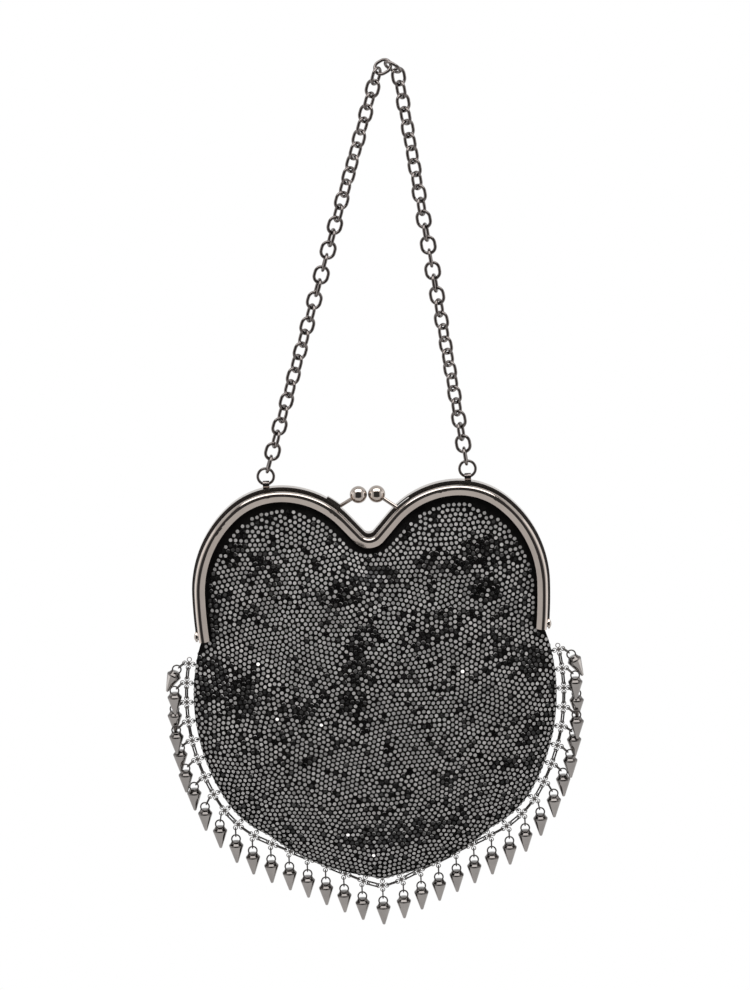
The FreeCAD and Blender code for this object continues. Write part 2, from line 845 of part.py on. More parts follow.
def outward(angle):
    """Unit vector away from the bag at an outline angle."""
    turn = math.radians(angle)
    return Vector(math.cos(turn), 0, math.sin(turn))


def fringe_connectors():
    """A plate at each station, with one ring towards the bag and one away from it."""
    plate = connector()
    return Part.makeCompound([
        placed(plate, Vector(x, 0, z), outward(angle), outward(angle - 90))
        for x, z, angle in fringe_stations()
    ])


def fringe_links():
    """Oval links between neighbouring plates."""
    stations = fringe_stations()
    links = []
    for index, (first, second) in enumerate(zip(stations, stations[1:])):
        start = Vector(first[0], 0, first[1]) + outward(first[2] + 90) * connector_reach
        end = Vector(second[0], 0, second[1]) + outward(second[2] - 90) * connector_reach
        along = Vector(end - start).normalize()
        roll = math.radians(fringe_link_roll * (-1) ** index)
        across = Y_AXIS * math.cos(roll) + along.cross(Y_AXIS) * math.sin(roll)
        link = oval_link((end - start).Length + fringe_link_wire, fringe_link_width, fringe_link_wire)
        links.append(placed(link, (start + end) / 2, along, across))
    return Part.makeCompound(links)


def pendant_reach():
    """Length from a plate's hole to the wire of the spike's loop."""
    lap = (pendant_wire + spike_loop_wire) / 2 + pendant_clearance
    return pendant_length - pendant_wire - lap


def pendant_pose(index):
    """Where a pendant hangs: its hole, the direction of its link and its stagger share."""
    x, z, angle = fringe_stations()[index]
    hole = Vector(x, 0, z) + outward(angle) * connector_reach
    steep = math.degrees(math.acos(-outward(angle).z))
    share = min(max((steep - stagger_from) / (stagger_full - stagger_from), 0.0), 1.0)
    out = math.radians(stagger_out * share)
    side = RIGHT if x > 0 else LEFT
    sway = stagger_side * share * (-1) ** index / pendant_reach()
    flat = math.sqrt(1 - sway ** 2)
    along = Vector(side * math.sin(out) * flat, sway, -math.cos(out) * flat)
    return hole, along, share


def pendant_links():
    """An oval link through each plate's outer ring."""
    link = oval_link(pendant_length, pendant_width, pendant_wire)
    links = []
    for index in range(2 * spikes_per_side + 1):
        hole, along, _ = pendant_pose(index)
        middle = hole + along * ((pendant_length - pendant_wire) / 2)
        links.append(placed(link, middle, along, Y_AXIS))
    return Part.makeCompound(links)


def spike_pivot(index):
    """Middle of the loop's wire where the pendant link carries a spike."""
    hole, along, _ = pendant_pose(index)
    return hole + along * pendant_reach()


def spike_axis(index):
    """Direction of the loop's wire at a spike's pivot, which the spike swings about."""
    _, along, _ = pendant_pose(index)
    return Y_AXIS.cross(along).normalize() * -1


def spike(index):
    """A pointed charm under its loop. The topmost on each side leans outwards on the next one."""
    _, along, _ = pendant_pose(index)
    level = Vector(along.x, 0, along.z).normalize()
    loop = spike_pivot(index) + level * spike_loop_radius
    top = loop - Z_AXIS * spike_loop_rise
    shoulder = Vector(spike_radius, 0, -spike_shoulder_drop)
    bottom = Vector(0, 0, -spike_length)
    tip_rise = spike_tip_radius * (1 - math.sin(math.radians(45)))
    tip_out = spike_tip_radius * math.cos(math.radians(45))
    tip_edge = Vector(spike_tip_radius, 0, spike_tip_radius - spike_length)
    tip = Part.Arc(tip_edge, Vector(tip_out, 0, tip_rise - spike_length), bottom)
    outline = [bottom, Vector(0, 0, 0), Vector(spike_top_radius, 0, 0), shoulder, tip_edge]
    edges = [Part.LineSegment(a, b).toShape() for a, b in zip(outline, outline[1:])]
    body = Part.Face(Part.Wire(edges + [tip.toShape()])).revolve(Vector(0, 0, 0), Z_AXIS, 360)
    body.translate(top)
    wire = Part.makeTorus(spike_loop_radius, spike_loop_wire / 2, loop, Y_AXIS)
    piece = body.fuse(wire).removeSplitter()
    if index == 0:
        piece.rotate(loop, Y_AXIS, top_lean)
    elif index == 2 * spikes_per_side:
        piece.rotate(loop, Y_AXIS, -top_lean)
    return piece


def nodes():
    """Every piece by name."""
    pieces = {
        "front_frame": frame_half(FRONT),
        "rear_frame": frame_half(REAR),
        "hinge_rivets": hinge_rivets(),
        "front_clasp": clasp(FRONT, RIGHT),
        "rear_clasp": clasp(REAR, LEFT),
        "chain_eyelets": chain_eyelets(),
        "left_ring": jump_ring(LEFT),
        "right_ring": jump_ring(RIGHT),
        "upper_chain": upper_chain(),
        "left_lower_chain": lower_chain(LEFT),
        "right_lower_chain": lower_chain(RIGHT),
        "front_outer_fabric": outer_fabric(FRONT),
        "rear_outer_fabric": outer_fabric(REAR),
        "front_stones": stone_cover(FRONT),
        "rear_stones": stone_cover(REAR),
        "front_stiffener_upper": front_stiffener_upper(),
        "front_stiffener_lower": front_stiffener_lower(),
        "rear_stiffener": stiffener(REAR),
        "front_lining": lining(FRONT),
        "rear_lining": lining(REAR),
        "front_paper_cord": paper_cord(FRONT),
        "rear_paper_cord": paper_cord(REAR),
        "fringe_connectors": fringe_connectors(),
        "fringe_links": fringe_links(),
        "pendant_links": pendant_links(),
    }
    for index in range(2 * spikes_per_side + 1):
        pieces[f"spike_{index + 1:02d}"] = spike(index)
    return pieces


def save(name, shape):
    """Write one piece, moved so that the hanging point is the origin."""
    piece = shape.copy()
    piece.translate(hang_points()[1] * -1)
    piece.exportStep(os.path.join("parts", name + ".step"))


def show_pivots():
    """Print where the pieces turn, from the hanging point, and each spike's axis."""
    origin = hang_points()[1]
    for side, name in ((LEFT, "left"), (RIGHT, "right")):
        print(name, "handle bend", bend_pivot(side) - origin)
        print(name, "ring swing", ring_pivot(side) - origin)
    for index in range(2 * spikes_per_side + 1):
        print("spike", index + 1, spike_pivot(index) - origin, "axis", spike_axis(index))


def main():
    os.makedirs("parts", exist_ok=True)
    for name, shape in nodes().items():
        save(name, shape)
    show_pivots()


if __name__ == "__main__":
    main()
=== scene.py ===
import math

import bpy
import numpy as np
from mathutils import Matrix, Vector


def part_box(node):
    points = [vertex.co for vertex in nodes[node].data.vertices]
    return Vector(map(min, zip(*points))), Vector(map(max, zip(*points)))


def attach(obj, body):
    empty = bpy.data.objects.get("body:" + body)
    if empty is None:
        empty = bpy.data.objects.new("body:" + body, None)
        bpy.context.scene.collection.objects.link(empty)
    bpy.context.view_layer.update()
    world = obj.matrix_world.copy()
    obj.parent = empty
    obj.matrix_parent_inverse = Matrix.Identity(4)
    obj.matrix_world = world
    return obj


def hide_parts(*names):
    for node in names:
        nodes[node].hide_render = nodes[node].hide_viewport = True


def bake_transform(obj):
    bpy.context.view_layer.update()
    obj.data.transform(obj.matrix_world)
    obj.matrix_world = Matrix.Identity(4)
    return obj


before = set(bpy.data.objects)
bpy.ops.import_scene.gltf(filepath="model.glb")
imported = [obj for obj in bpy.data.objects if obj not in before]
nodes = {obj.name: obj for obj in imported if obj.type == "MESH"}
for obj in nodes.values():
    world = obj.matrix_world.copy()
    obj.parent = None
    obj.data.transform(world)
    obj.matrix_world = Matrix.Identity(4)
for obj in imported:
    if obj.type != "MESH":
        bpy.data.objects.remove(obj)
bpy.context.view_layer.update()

# Purse drawing: millimetres from the middle of the frame's hinge axis. +X right, -Y front, +Z up.
HANG = np.array([17.9, 1.0, 281.0])
FRONT, REAR = -1, 1
ARC_STEP = 0.5
TINY = 1e-6
NEAR_AXIS = 0.9

# Frame outline
HALF_WIDTH = 88.7
WIDEST_HEIGHT = 21.6
SIDE_RADIUS = 220.0
SHOULDER_RADIUS = 56.8
SHOULDER_TURN = 49.1
CROWN_RADIUS = 38.4
INNER_CROWN_RADIUS = 45.5
FLANK_SLOPE = 48.5
NOTCH_RADIUS = 3.1
LEG_DROP = 2.2
BAND_WIDTH = 6.6

# Bag outline
BAG_HALF_WIDTH = 90.2
BAG_WIDEST_DROP = 33.2
BAG_NECK_RADIUS = 100.0
BAG_NECK_DROP = 8.4
BAG_SIDE_RADIUS = 101.0
BAG_SIDE_TURN = 29.5
BAG_CORNER_RADIUS = 48.0
BAG_CORNER_TURN = 35.5
BAG_TIP_RADIUS = 14.0

# Padded profile of the panels: a share is the part of the way from the bag's middle to the outline
PANEL_DEPTH = {FRONT: 17.0, REAR: 19.0}
FLANGE_INSET = 2.6
CENTRE_DROP = 22.0
ROUNDING = 1.4
ROUNDING_START = 0.9
SEAM_HALF_GAP = 0.15
FRAME_SWELL = 1.0
EDGE_SWELL = 0.62
SWELL_TURN = math.radians(28.6)
OUTSIDE_FALL = 4.0
FURTHEST_SHARE = 1.4
SHARE_HALVINGS = 30

# Grid that holds the height of a face, and the evening out of its folds
GRID_STEP = 0.5
GRID_LOW = (-96.0, -130.0)
GRID_COUNT = (385, 451)
GRID_END = 1.001
SMOOTH_ROUNDS = 40
SMOOTH_RIM = 0.95
SMOOTH_FADE = 0.12

# Broad swells of the padded faces, as in the solids: length, height, direction and phase of each
FACE_WAVES = (
    (70.0, 0.8, 20.0, 40.0),
    (56.0, 0.7, 110.0, 200.0),
    (47.0, 0.6, 65.0, 300.0),
    (40.0, 0.5, 155.0, 90.0),
)
REAR_WAVE_SHIFT = 137.0
WAVE_RIM = 0.97
WAVE_CORE = 0.25
WAVE_FADE = 0.25

# Small dents between them: length and height, how many of each, and how their crests bend
SMALL_WAVES = ((36, 0.42), (28, 0.34), (22, 0.26), (17, 0.18))
SMALL_WAVES_EACH = 2
CREST_BEND = 4.0
CREST_RATE = 2.1
DENT_SEEDS = {FRONT: 11, REAR: 29}

# Cloth, and the rim where a sheet keeps the plain profile
CLOTH_COLUMNS = 420
CLOTH_RINGS = 72
CLOTH_THICKNESS = 0.8
PLAIN_RIM = 0.955
PLAIN_FADE = 0.03

# Room at the rear neck: depth, middle, half size and reach in half sizes
HEEL_DEPTH = 1.7
HEEL_MIDDLE = (84.5, -1.5)
HEEL_SIZE = (6.0, 3.0)
HEEL_REACH = 1.8

# Lining, with its mesh, depth and thickness, and its gathers
LINING_COLUMNS = 300
LINING_RINGS = 48
LINING_DEPTH = 2.3
LINING_THICKNESS = 0.5
GATHER_START = 0.55
GATHER_FADE = 0.3
GATHER_RIM_FADE = 0.06
GATHER_HALF_HEIGHT = 0.5
GATHER_COUNT = 58
GATHER_SWAY = 2.0
GATHER_SWAY_COUNT = 7

# Form of a stone
STONE_RADIUS = 1.12
STONE_TABLE = 0.89
STONE_HEIGHT = 0.55
STONE_SINK = 0.12
STONE_SIDES = 10
STONE_TILT = 0.035
STONE_SEEDS = {FRONT: 5, REAR: 17}

# Rows of stones: how many each way, their turn, and their bends as length and size
STONE_PITCH = 2.6
STONE_COLUMNS = (-48, 49)
STONE_ROWS = (-64, 62)
STONE_ROW_TURN = 17
ROW_BENDS = ((150, 9.0), (110, 6.0), (80, 3.5), (60, 2.0))
ROW_BENDS_EACH = 2

# Edge of the stones: distance from the frame at its sides and under its lobes, and from the seam
STONE_SIDE_MARGIN = 2.2
STONE_TOP_MARGIN = 4.7
STONE_MARGIN_HEIGHTS = (15.0, 50.0)
STONE_EDGE_MARGIN = 0.7

# Evening out: more stones on slopes, then steps that push neighbours apart
MOST_SPARE = 2
SPARE_SHIFT = 0.8
EVEN_ROUNDS = 140
PUSH_SHARE = 0.3
CELL_SHARE = 1.02
CELL_SLOTS = 10

# Tones of the stones, as parts of one colour: a mean and a spread, limits, then painted shade on the crowns
# and on dark stones, painted glints on their crowns, and a few stones painted white as glints
STONE_COLOUR = (0.262, 0.253, 0.248)
STONE_TONE = (1.02, 0.17)
STONE_TONE_LIMITS = (0.5, 1.5)
# Crowns are painted black: painted shade between the stones
STONE_CROWN_PAINTED_SHADE = 0.0
STONE_PAINTED_SHADE_SHARE = 0.10
STONE_PAINTED_SHADE_TONE = 0.03
STONE_PAINTED_SHADE_SPREAD = (0.5, 1.8)
STONE_PAINTED_SHADE_POWER = 3
STONE_GLINT_TONE = 0.9
STONE_GLINT_SPREAD = (0.0, 1.3)
STONE_GLINT_POWER = 2
STONE_WHITE_GLINT_SHARE = 0.0015
STONE_WHITE_GLINT_TONE = 4.2
GLINT_LEAN = 0.5
GLINT_EDGE = 0.45

# Patches of stones painted dark as shade of the rumpled face: middle, half length, half width and direction
# of each
PAINTED_SHADE_PATCHES = {
    FRONT: (
        (-52, 37, 11, 6, 120), (-59, 13, 5, 4, 0), (-15, 22, 19, 6, 18), (7, 28, 9, 5, 0),
        (33, 35, 11, 6, 10), (54, 38, 14, 8, 20), (57, 22, 8, 8, 0), (38, 5, 15, 6, 15),
        (25, -4, 8, 4, 60), (-5, -1, 10, 6, 40), (-9, -15, 10, 6, 50), (64, -10, 14, 6, 120),
        (77, -18, 7, 9, 0), (-68, -28, 17, 12, 150), (-38, -36, 10, 5, 20), (-12, -33, 9, 6, 30),
        (77, -52, 9, 5, 70), (66, -68, 12, 3, 0), (10, -101, 33, 7, 8), (-35, -63, 4, 4, 0),
        (35, -74, 5, 4, 0), (-82, -22, 14, 6, 85), (-79, 14, 22, 3, 88), (-66, 46, 12, 3, 60),
    ),
    REAR: (
        (40, 34, 14, 7, 30), (-30, 30, 12, 6, 150), (5, 12, 16, 6, 10), (-62, 4, 10, 6, 100),
        (62, -14, 13, 8, 60), (-20, -28, 12, 6, 20), (24, -48, 14, 6, 160), (-58, -48, 12, 7, 45),
        (0, -84, 12, 5, 0), (-26, -103, 22, 5, 165), (48, -82, 9, 5, 120), (74, -44, 7, 5, 0),
    ),
}
PATCH_MIDDLE = 1.45
PATCH_FALL = 1.1
PATCH_MOST = 0.72

# Paper cords
PAPER_CORD_INSET = 4.2
PAPER_CORD_RADIUS = 0.5
PAPER_CORD_SIDES = 10
PAPER_CORD_TWIST = 3.2
PAPER_PLY_DEPTH = 0.22
LEG_CLEARANCE = 1.2

# Spikes: radius, height under the middle of the loop and rounding of each corner of the profile
SPIKE_PROFILE = (
    (0.0, -0.95, 0.0), (2.25, -1.0, 0.6), (2.75, -2.1, 0.3), (3.62, -3.05, 0.25), (3.56, -3.75, 0.3),
    (0.62, -12.2, 0.5), (0.0, -12.45, 0.0),
)
SPIKE_SIDES = 36
SPIKE_CAP_BOTTOM = -3.75
LOOP_RADIUS = 2.125
LOOP_WIRE = 0.75
LOOP_STEPS = 36
LOOP_WIRE_SIDES = 12
ROUNDING_STEPS = 7

# Fringe plates: the web's profile is a radius, a height and a rounding for each corner
EDGE_STEP = 0.1
PLATE_REACH = 2.1
PLATE_RING_RADIUS = 1.05
PLATE_WIRE = 0.46
PLATE_WIRE_SIDES = 10
PLATE_WEB = ((0.0, 0.24, 0.0), (0.95, 0.2, 0.12), (0.95, -0.2, 0.12), (0.0, -0.24, 0.0))
PLATE_SIDES = 24

# Threads of the fringe: two loops beside each other at each plate
THREAD_RADIUS = 0.13
THREAD_SIDES = 6
THREAD_LOOPS = (-0.14, 0.14)
THREAD_STEPS = 18
THREAD_MIDDLE = 0.5
THREAD_REACH = 1.1
THREAD_HALF_WIDTH = 0.6


def row(points):
    """Purse drawing points in millimetres to row frame points in metres."""
    return (np.asarray(points, float) - HANG) / 1000.0


def polar(centre, radius, angle):
    """Point at a radius and an angle in degrees about a centre."""
    turn = math.radians(angle)
    return (centre[0] + radius * math.cos(turn), centre[1] + radius * math.sin(turn))


def arc_points(centre, radius, start, end):
    """Points along an arc between two angles in degrees."""
    count = max(int(abs(math.radians(end - start)) * radius / ARC_STEP), 2)
    return [polar(centre, radius, angle) for angle in np.linspace(start, end, count)]


def circle_points(radius, steps):
    """Closed circle about the Y axis."""
    turn = np.linspace(0, 2 * math.pi, steps, endpoint=False)
    return radius * np.column_stack((np.cos(turn), 0 * turn, np.sin(turn)))


def frame_outline(inset):
    """Right half of the frame outline, from the leg's end up to the notch."""
    side = (HALF_WIDTH - SIDE_RADIUS, WIDEST_HEIGHT)
    shoulder = (HALF_WIDTH - SHOULDER_RADIUS, WIDEST_HEIGHT)
    crown = polar(shoulder, SHOULDER_RADIUS - CROWN_RADIUS, SHOULDER_TURN)
    inner = (crown[0], crown[1] + CROWN_RADIUS - INNER_CROWN_RADIUS)
    over = 90 + FLANK_SLOPE
    flank_top = polar(inner, INNER_CROWN_RADIUS, over)
    slope = math.radians(FLANK_SLOPE)
    run = (flank_top[0] - NOTCH_RADIUS * math.sin(slope)) / math.cos(slope)
    notch = (0.0, flank_top[1] - run * math.sin(slope) + NOTCH_RADIUS * math.cos(slope))
    leg = math.degrees(math.asin((WIDEST_HEIGHT + LEG_DROP) / SIDE_RADIUS))
    points = arc_points(side, SIDE_RADIUS - inset, -leg, 0)
    points += arc_points(shoulder, SHOULDER_RADIUS - inset, 0, SHOULDER_TURN)
    points += arc_points(crown, CROWN_RADIUS - inset, SHOULDER_TURN, 90)
    points += arc_points(inner, INNER_CROWN_RADIUS - inset, 90, over)
    points += arc_points(notch, NOTCH_RADIUS + inset, FLANK_SLOPE - 90, -90)
    return points


def bag_outline(inset):
    """Right half of the bag's lower outline, from the tip up to the neck."""
    widest = -BAG_WIDEST_DROP
    neck = (BAG_HALF_WIDTH - BAG_NECK_RADIUS, widest)
    side = (BAG_HALF_WIDTH - BAG_SIDE_RADIUS, widest)
    corner = polar(side, BAG_SIDE_RADIUS - BAG_CORNER_RADIUS, -BAG_SIDE_TURN)
    turn = BAG_SIDE_TURN + BAG_CORNER_TURN
    slope = math.radians(90 - turn)
    line_top = polar(corner, BAG_CORNER_RADIUS, -turn)
    line_end = line_top[1] - (line_top[0] - BAG_TIP_RADIUS * math.sin(slope)) * math.tan(slope)
    tip = (0.0, line_end + BAG_TIP_RADIUS * math.cos(slope))
    top = math.degrees(math.asin((BAG_WIDEST_DROP - BAG_NECK_DROP) / BAG_NECK_RADIUS))
    points = arc_points(tip, BAG_TIP_RADIUS - inset, -90, -turn)
    points += arc_points(corner, BAG_CORNER_RADIUS - inset, -turn, -BAG_SIDE_TURN)
    points += arc_points(side, BAG_SIDE_RADIUS - inset, -BAG_SIDE_TURN, 0)
    points += arc_points(neck, BAG_NECK_RADIUS - inset, 0, top)
    return points


class Outline:
    """Panel outline as a radius about the bag's middle, for each direction."""

    def __init__(self, inset, edge):
        right = np.array(bag_outline(edge) + frame_outline(inset))
        left = right[::-1] * (-1, 1)
        points = np.vstack((right, left))
        angle = np.arctan2(points[:, 1] + CENTRE_DROP, points[:, 0])
        order = np.argsort(angle)
        self.angle = angle[order]
        self.radius = np.hypot(points[:, 0], points[:, 1] + CENTRE_DROP)[order]

    def reach(self, angle):
        """Distance of the outline from the bag's middle in each direction."""
        return np.interp(angle, self.angle, self.radius, period=2 * math.pi)


FLANGE = Outline(FLANGE_INSET, 0.0)
STONE_SIDE = Outline(BAND_WIDTH + STONE_SIDE_MARGIN, STONE_EDGE_MARGIN)
STONE_TOP = Outline(BAND_WIDTH + STONE_TOP_MARGIN, STONE_EDGE_MARGIN)


def stone_reach(angle):
    """Edge of the stones: close to the frame at its sides, further from it under its lobes."""
    side, top = STONE_SIDE.reach(angle), STONE_TOP.reach(angle)
    start, end = STONE_MARGIN_HEIGHTS
    mix = np.clip((top * np.sin(angle) - CENTRE_DROP - start) / (end - start), 0, 1)
    return side + (top - side) * mix * mix * (3 - 2 * mix)


def stretch(share, reach):
    """Distance from the bag's middle of a point at a share of the way to the outline."""
    roundness = np.clip(ROUNDING * (ROUNDING_START - share), 0.0, 1.0)
    return share * (reach + roundness * (BAG_HALF_WIDTH - reach))


def share_of(x, z):
    """Share of the way to the outline of each point, found by halving."""
    distance = np.hypot(x, z + CENTRE_DROP)
    reach = FLANGE.reach(np.arctan2(z + CENTRE_DROP, x))
    low, high = np.zeros_like(distance), np.full_like(distance, FURTHEST_SHARE)
    for _ in range(SHARE_HALVINGS):
        middle = (low + high) / 2
        inside = stretch(middle, reach) < distance
        low = np.where(inside, middle, low)
        high = np.where(inside, high, middle)
    return (low + high) / 2


def swell(x, z):
    """Exponent of the panel's profile: fuller at the sewn edge than at the frame."""
    angle = np.arctan2(z + CENTRE_DROP, np.abs(x))
    mix = np.clip(angle / SWELL_TURN + 0.5, 0, 1)
    mix = mix * mix * (3 - 2 * mix)
    return EDGE_SWELL + (FRAME_SWELL - EDGE_SWELL) * mix


def smoothed(grid):
    """The same heights with their sharp folds evened out."""
    soft = grid.copy()
    for _ in range(SMOOTH_ROUNDS):
        beside = soft[:-2, 1:-1] + soft[2:, 1:-1] + soft[1:-1, :-2] + soft[1:-1, 2:]
        soft[1:-1, 1:-1] = soft[1:-1, 1:-1] / 2 + beside / 8
    return soft


class Surface:
    """Height of one panel's outer face over the drawing plane, with its soft undulations, on a grid."""

    def __init__(self, facing):
        self.facing = facing
        self.depth = PANEL_DEPTH[facing]
        across = GRID_LOW[0] + GRID_STEP * np.arange(GRID_COUNT[0])
        upward = GRID_LOW[1] + GRID_STEP * np.arange(GRID_COUNT[1])
        x, z = np.meshgrid(across, upward, indexing="ij")
        share = share_of(x, z)
        level = self.plain(x, z, share)
        inner = np.clip((SMOOTH_RIM - share) / SMOOTH_FADE, 0, 1)
        level = level + (smoothed(level) - level) * inner
        outer = np.clip((WAVE_RIM - share) / WAVE_FADE, 0, 1)
        core = np.clip((share - WAVE_CORE) / WAVE_FADE, 0, 1)
        self.grid = level + outer * (core * self.broad(x, z) + self.small(x, z))
        self.slope_x, self.slope_z = np.gradient(self.grid, GRID_STEP)

    def plain(self, x, z, share):
        """Height of the padded profile alone, which falls away outside the outline."""
        body = np.clip(1 - share * share, 0, 1) ** swell(x, z)
        return SEAM_HALF_GAP + self.depth * body - OUTSIDE_FALL * np.clip(share - 1, 0, None)

    def broad(self, x, z):
        """Broad swells of the padding, the same as the solids have."""
        shift = REAR_WAVE_SHIFT if self.facing == REAR else 0.0
        total = np.zeros_like(x)
        for length, height, direction, phase in FACE_WAVES:
            turn = math.radians(direction)
            along = x * math.cos(turn) + z * math.sin(turn)
            total += height * np.cos(2 * math.pi * along / length + math.radians(phase + shift))
        return total

    def small(self, x, z):
        """Small dents of the cloth, waves of a few lengths with bent crests."""
        draw = np.random.default_rng(DENT_SEEDS[self.facing])
        total = np.zeros_like(x)
        for length, height in SMALL_WAVES:
            for _ in range(SMALL_WAVES_EACH):
                turn, phase = draw.uniform(0, 2 * math.pi, 2)
                along = x * math.cos(turn) + z * math.sin(turn)
                across = x * math.sin(turn) - z * math.cos(turn)
                bend = CREST_BEND * np.sin(across / length * CREST_RATE + phase)
                total += height * np.cos(2 * math.pi * (along + bend) / length + phase)
        return total

    @staticmethod
    def sample(table, x, z):
        """Value of a table of the grid at each point, between its four neighbours."""
        u = np.clip((x - GRID_LOW[0]) / GRID_STEP, 0, table.shape[0] - GRID_END)
        v = np.clip((z - GRID_LOW[1]) / GRID_STEP, 0, table.shape[1] - GRID_END)
        i, j = u.astype(int), v.astype(int)
        u, v = u - i, v - j
        return (
            table[i, j] * (1 - u) * (1 - v) + table[i + 1, j] * u * (1 - v)
            + table[i, j + 1] * (1 - u) * v + table[i + 1, j + 1] * u * v
        )

    def level(self, x, z):
        """Height of the face at each point."""
        return self.sample(self.grid, x, z)

    def points(self, x, z, lift=0.0):
        """Drawing points on the face, or above it along the normal."""
        base = np.column_stack((x, self.facing * self.level(x, z), z))
        return base + self.normal(x, z) * lift

    def normal(self, x, z):
        """Outward direction of the face at each point."""
        slope_x, slope_z = self.sample(self.slope_x, x, z), self.sample(self.slope_z, x, z)
        normal = np.column_stack((-slope_x, np.full_like(slope_x, self.facing), -slope_z))
        return normal / np.linalg.norm(normal, axis=1)[:, None]


SURFACES = {facing: Surface(facing) for facing in (FRONT, REAR)}


def new_object(name, verts, faces, smooth=True):
    """Mesh object from row frame points and faces, linked to the scene."""
    mesh = bpy.data.meshes.new(name)
    mesh.from_pydata([tuple(v) for v in verts], [], [tuple(f) for f in faces])
    mesh.update()
    if smooth:
        mesh.polygons.foreach_set("use_smooth", [True] * len(mesh.polygons))
    obj = bpy.data.objects.new(name, mesh)
    bpy.context.scene.collection.objects.link(obj)
    return obj


def shifted(faces, start):
    """The same faces for corners that begin at a later number."""
    return [tuple(start + corner for corner in face) for face in faces]


def heel_room(facing, x, z):
    """Room in the rear panel for the ends of the front legs, which swing back as the frame opens."""
    if facing == FRONT:
        return np.zeros_like(x)
    across = (np.abs(x) - HEEL_MIDDLE[0]) / HEEL_SIZE[0]
    upward = (z - HEEL_MIDDLE[1]) / HEEL_SIZE[1]
    return HEEL_DEPTH * np.clip(HEEL_REACH - np.hypot(across, upward), 0, 1)


def lining_gathers(angles, share):
    """Small gathers of the lining near the frame."""
    fade = np.clip((share - GATHER_START) / GATHER_FADE, 0, 1)
    fade = fade * np.clip((1.0 - share) / GATHER_RIM_FADE, 0, 1)
    turn = angles * GATHER_COUNT + GATHER_SWAY * np.sin(angles * GATHER_SWAY_COUNT)
    return -GATHER_HALF_HEIGHT * fade * (1 + np.cos(turn))


def sheet_layer(facing, sink, depth, columns, rings, gathers):
    """Points of one side of a panel's shell: rings from the outline inwards, then the middle."""
    surface = SURFACES[facing]
    angles = np.linspace(-math.pi, math.pi, columns, endpoint=False)
    reach = FLANGE.reach(angles)
    shares = np.cos(np.linspace(0.0, 0.5 * math.pi, rings + 1))[:-1]
    layer = []
    for share in shares * (1 - sink / BAG_HALF_WIDTH):
        distance = stretch(np.full(columns, share), reach)
        x = distance * np.cos(angles)
        z = distance * np.sin(angles) - CENTRE_DROP
        plain = surface.plain(x, z, np.full(columns, share))
        mix = np.clip((share - PLAIN_RIM) / PLAIN_FADE, 0, 1)
        level = surface.level(x, z) * (1 - mix) + plain * mix - depth
        if gathers is not None:
            level = level + gathers(angles, share)
        level = np.maximum(level, SEAM_HALF_GAP + heel_room(facing, x, z))
        layer.append(np.column_stack((x, facing * level, z)))
    middle = surface.level(np.zeros(1), np.full(1, -CENTRE_DROP))[0] - depth
    layer.append([[0.0, facing * middle, -CENTRE_DROP]])
    return np.vstack(layer)


def panel_sheet(name, facing, sink, thickness, columns, rings, gathers=None):
    """Closed thin shell that follows a panel's face at a depth below it."""
    depths = (sink, sink + thickness)
    layers = [sheet_layer(facing, sink, depth, columns, rings, gathers) for depth in depths]
    count = len(layers[0])
    faces = []
    for layer in (0, 1):
        base = layer * count
        flip = (layer == 0) == (facing == FRONT)
        for ring in range(rings - 1):
            outer = base + ring * columns
            inner = outer + columns
            for column in range(columns):
                after = (column + 1) % columns
                quad = (outer + column, outer + after, inner + after, inner + column)
                faces.append(quad if flip else quad[::-1])
        last = base + (rings - 1) * columns
        for column in range(columns):
            triangle = (last + column, last + (column + 1) % columns, base + count - 1)
            faces.append(triangle if flip else triangle[::-1])
    for column in range(columns):
        after = (column + 1) % columns
        quad = (column, after, count + after, count + column)
        faces.append(quad[::-1] if facing == FRONT else quad)
    return new_object(name, row(np.vstack(layers)), faces)


def inside_stones(points):
    """Which points lie within the edge of the stones."""
    reach = stone_reach(np.arctan2(points[:, 1] + CENTRE_DROP, points[:, 0]))
    return np.hypot(points[:, 0], points[:, 1] + CENTRE_DROP) < reach


def hold_inside(points):
    """Brings points that left the stones' area back to its edge."""
    offset = points + (0, CENTRE_DROP)
    distance = np.hypot(offset[:, 0], offset[:, 1])
    reach = stone_reach(np.arctan2(offset[:, 1], offset[:, 0]))
    scale = np.minimum(1.0, reach / np.maximum(distance, TINY))
    return offset * scale[:, None] - (0, CENTRE_DROP)


def stone_places(surface, seed, rounds):
    """Middle of each stone: curved rows that are evened out over the padded face."""
    draw = np.random.default_rng(seed)
    rise = STONE_PITCH * math.sqrt(3) / 2
    columns = np.arange(*STONE_COLUMNS) * STONE_PITCH
    rows = np.arange(*STONE_ROWS) * rise
    x = (columns[:, None] + 0.5 * STONE_PITCH * (np.arange(len(rows)) % 2)[None, :]).ravel()
    z = (np.zeros((len(columns), 1)) + rows[None, :]).ravel() - CENTRE_DROP
    turn = math.radians(STONE_ROW_TURN)
    x, z = x * math.cos(turn) - z * math.sin(turn), x * math.sin(turn) + z * math.cos(turn)
    for length, size in ROW_BENDS:
        for _ in range(ROW_BENDS_EACH):
            way, phase = draw.uniform(0, 2 * math.pi, 2)
            wave = size * np.sin(2 * math.pi * (x * math.cos(way) + z * math.sin(way)) / length + phase)
            x, z = x - wave * math.sin(way), z + wave * math.cos(way)
    points = np.column_stack((x, z))
    points = points[inside_stones(points)]
    normal = surface.normal(points[:, 0], points[:, 1])
    spare = np.clip(1 / np.abs(normal[:, 1]) - 1, 0, MOST_SPARE)
    extra = draw.uniform(size=len(points)) < spare
    shift = draw.uniform(-SPARE_SHIFT, SPARE_SHIFT, (extra.sum(), 2))
    points = hold_inside(np.vstack((points, points[extra] + shift)))
    for _ in range(rounds):
        points = hold_inside(points + push_apart(points, surface))
    return points


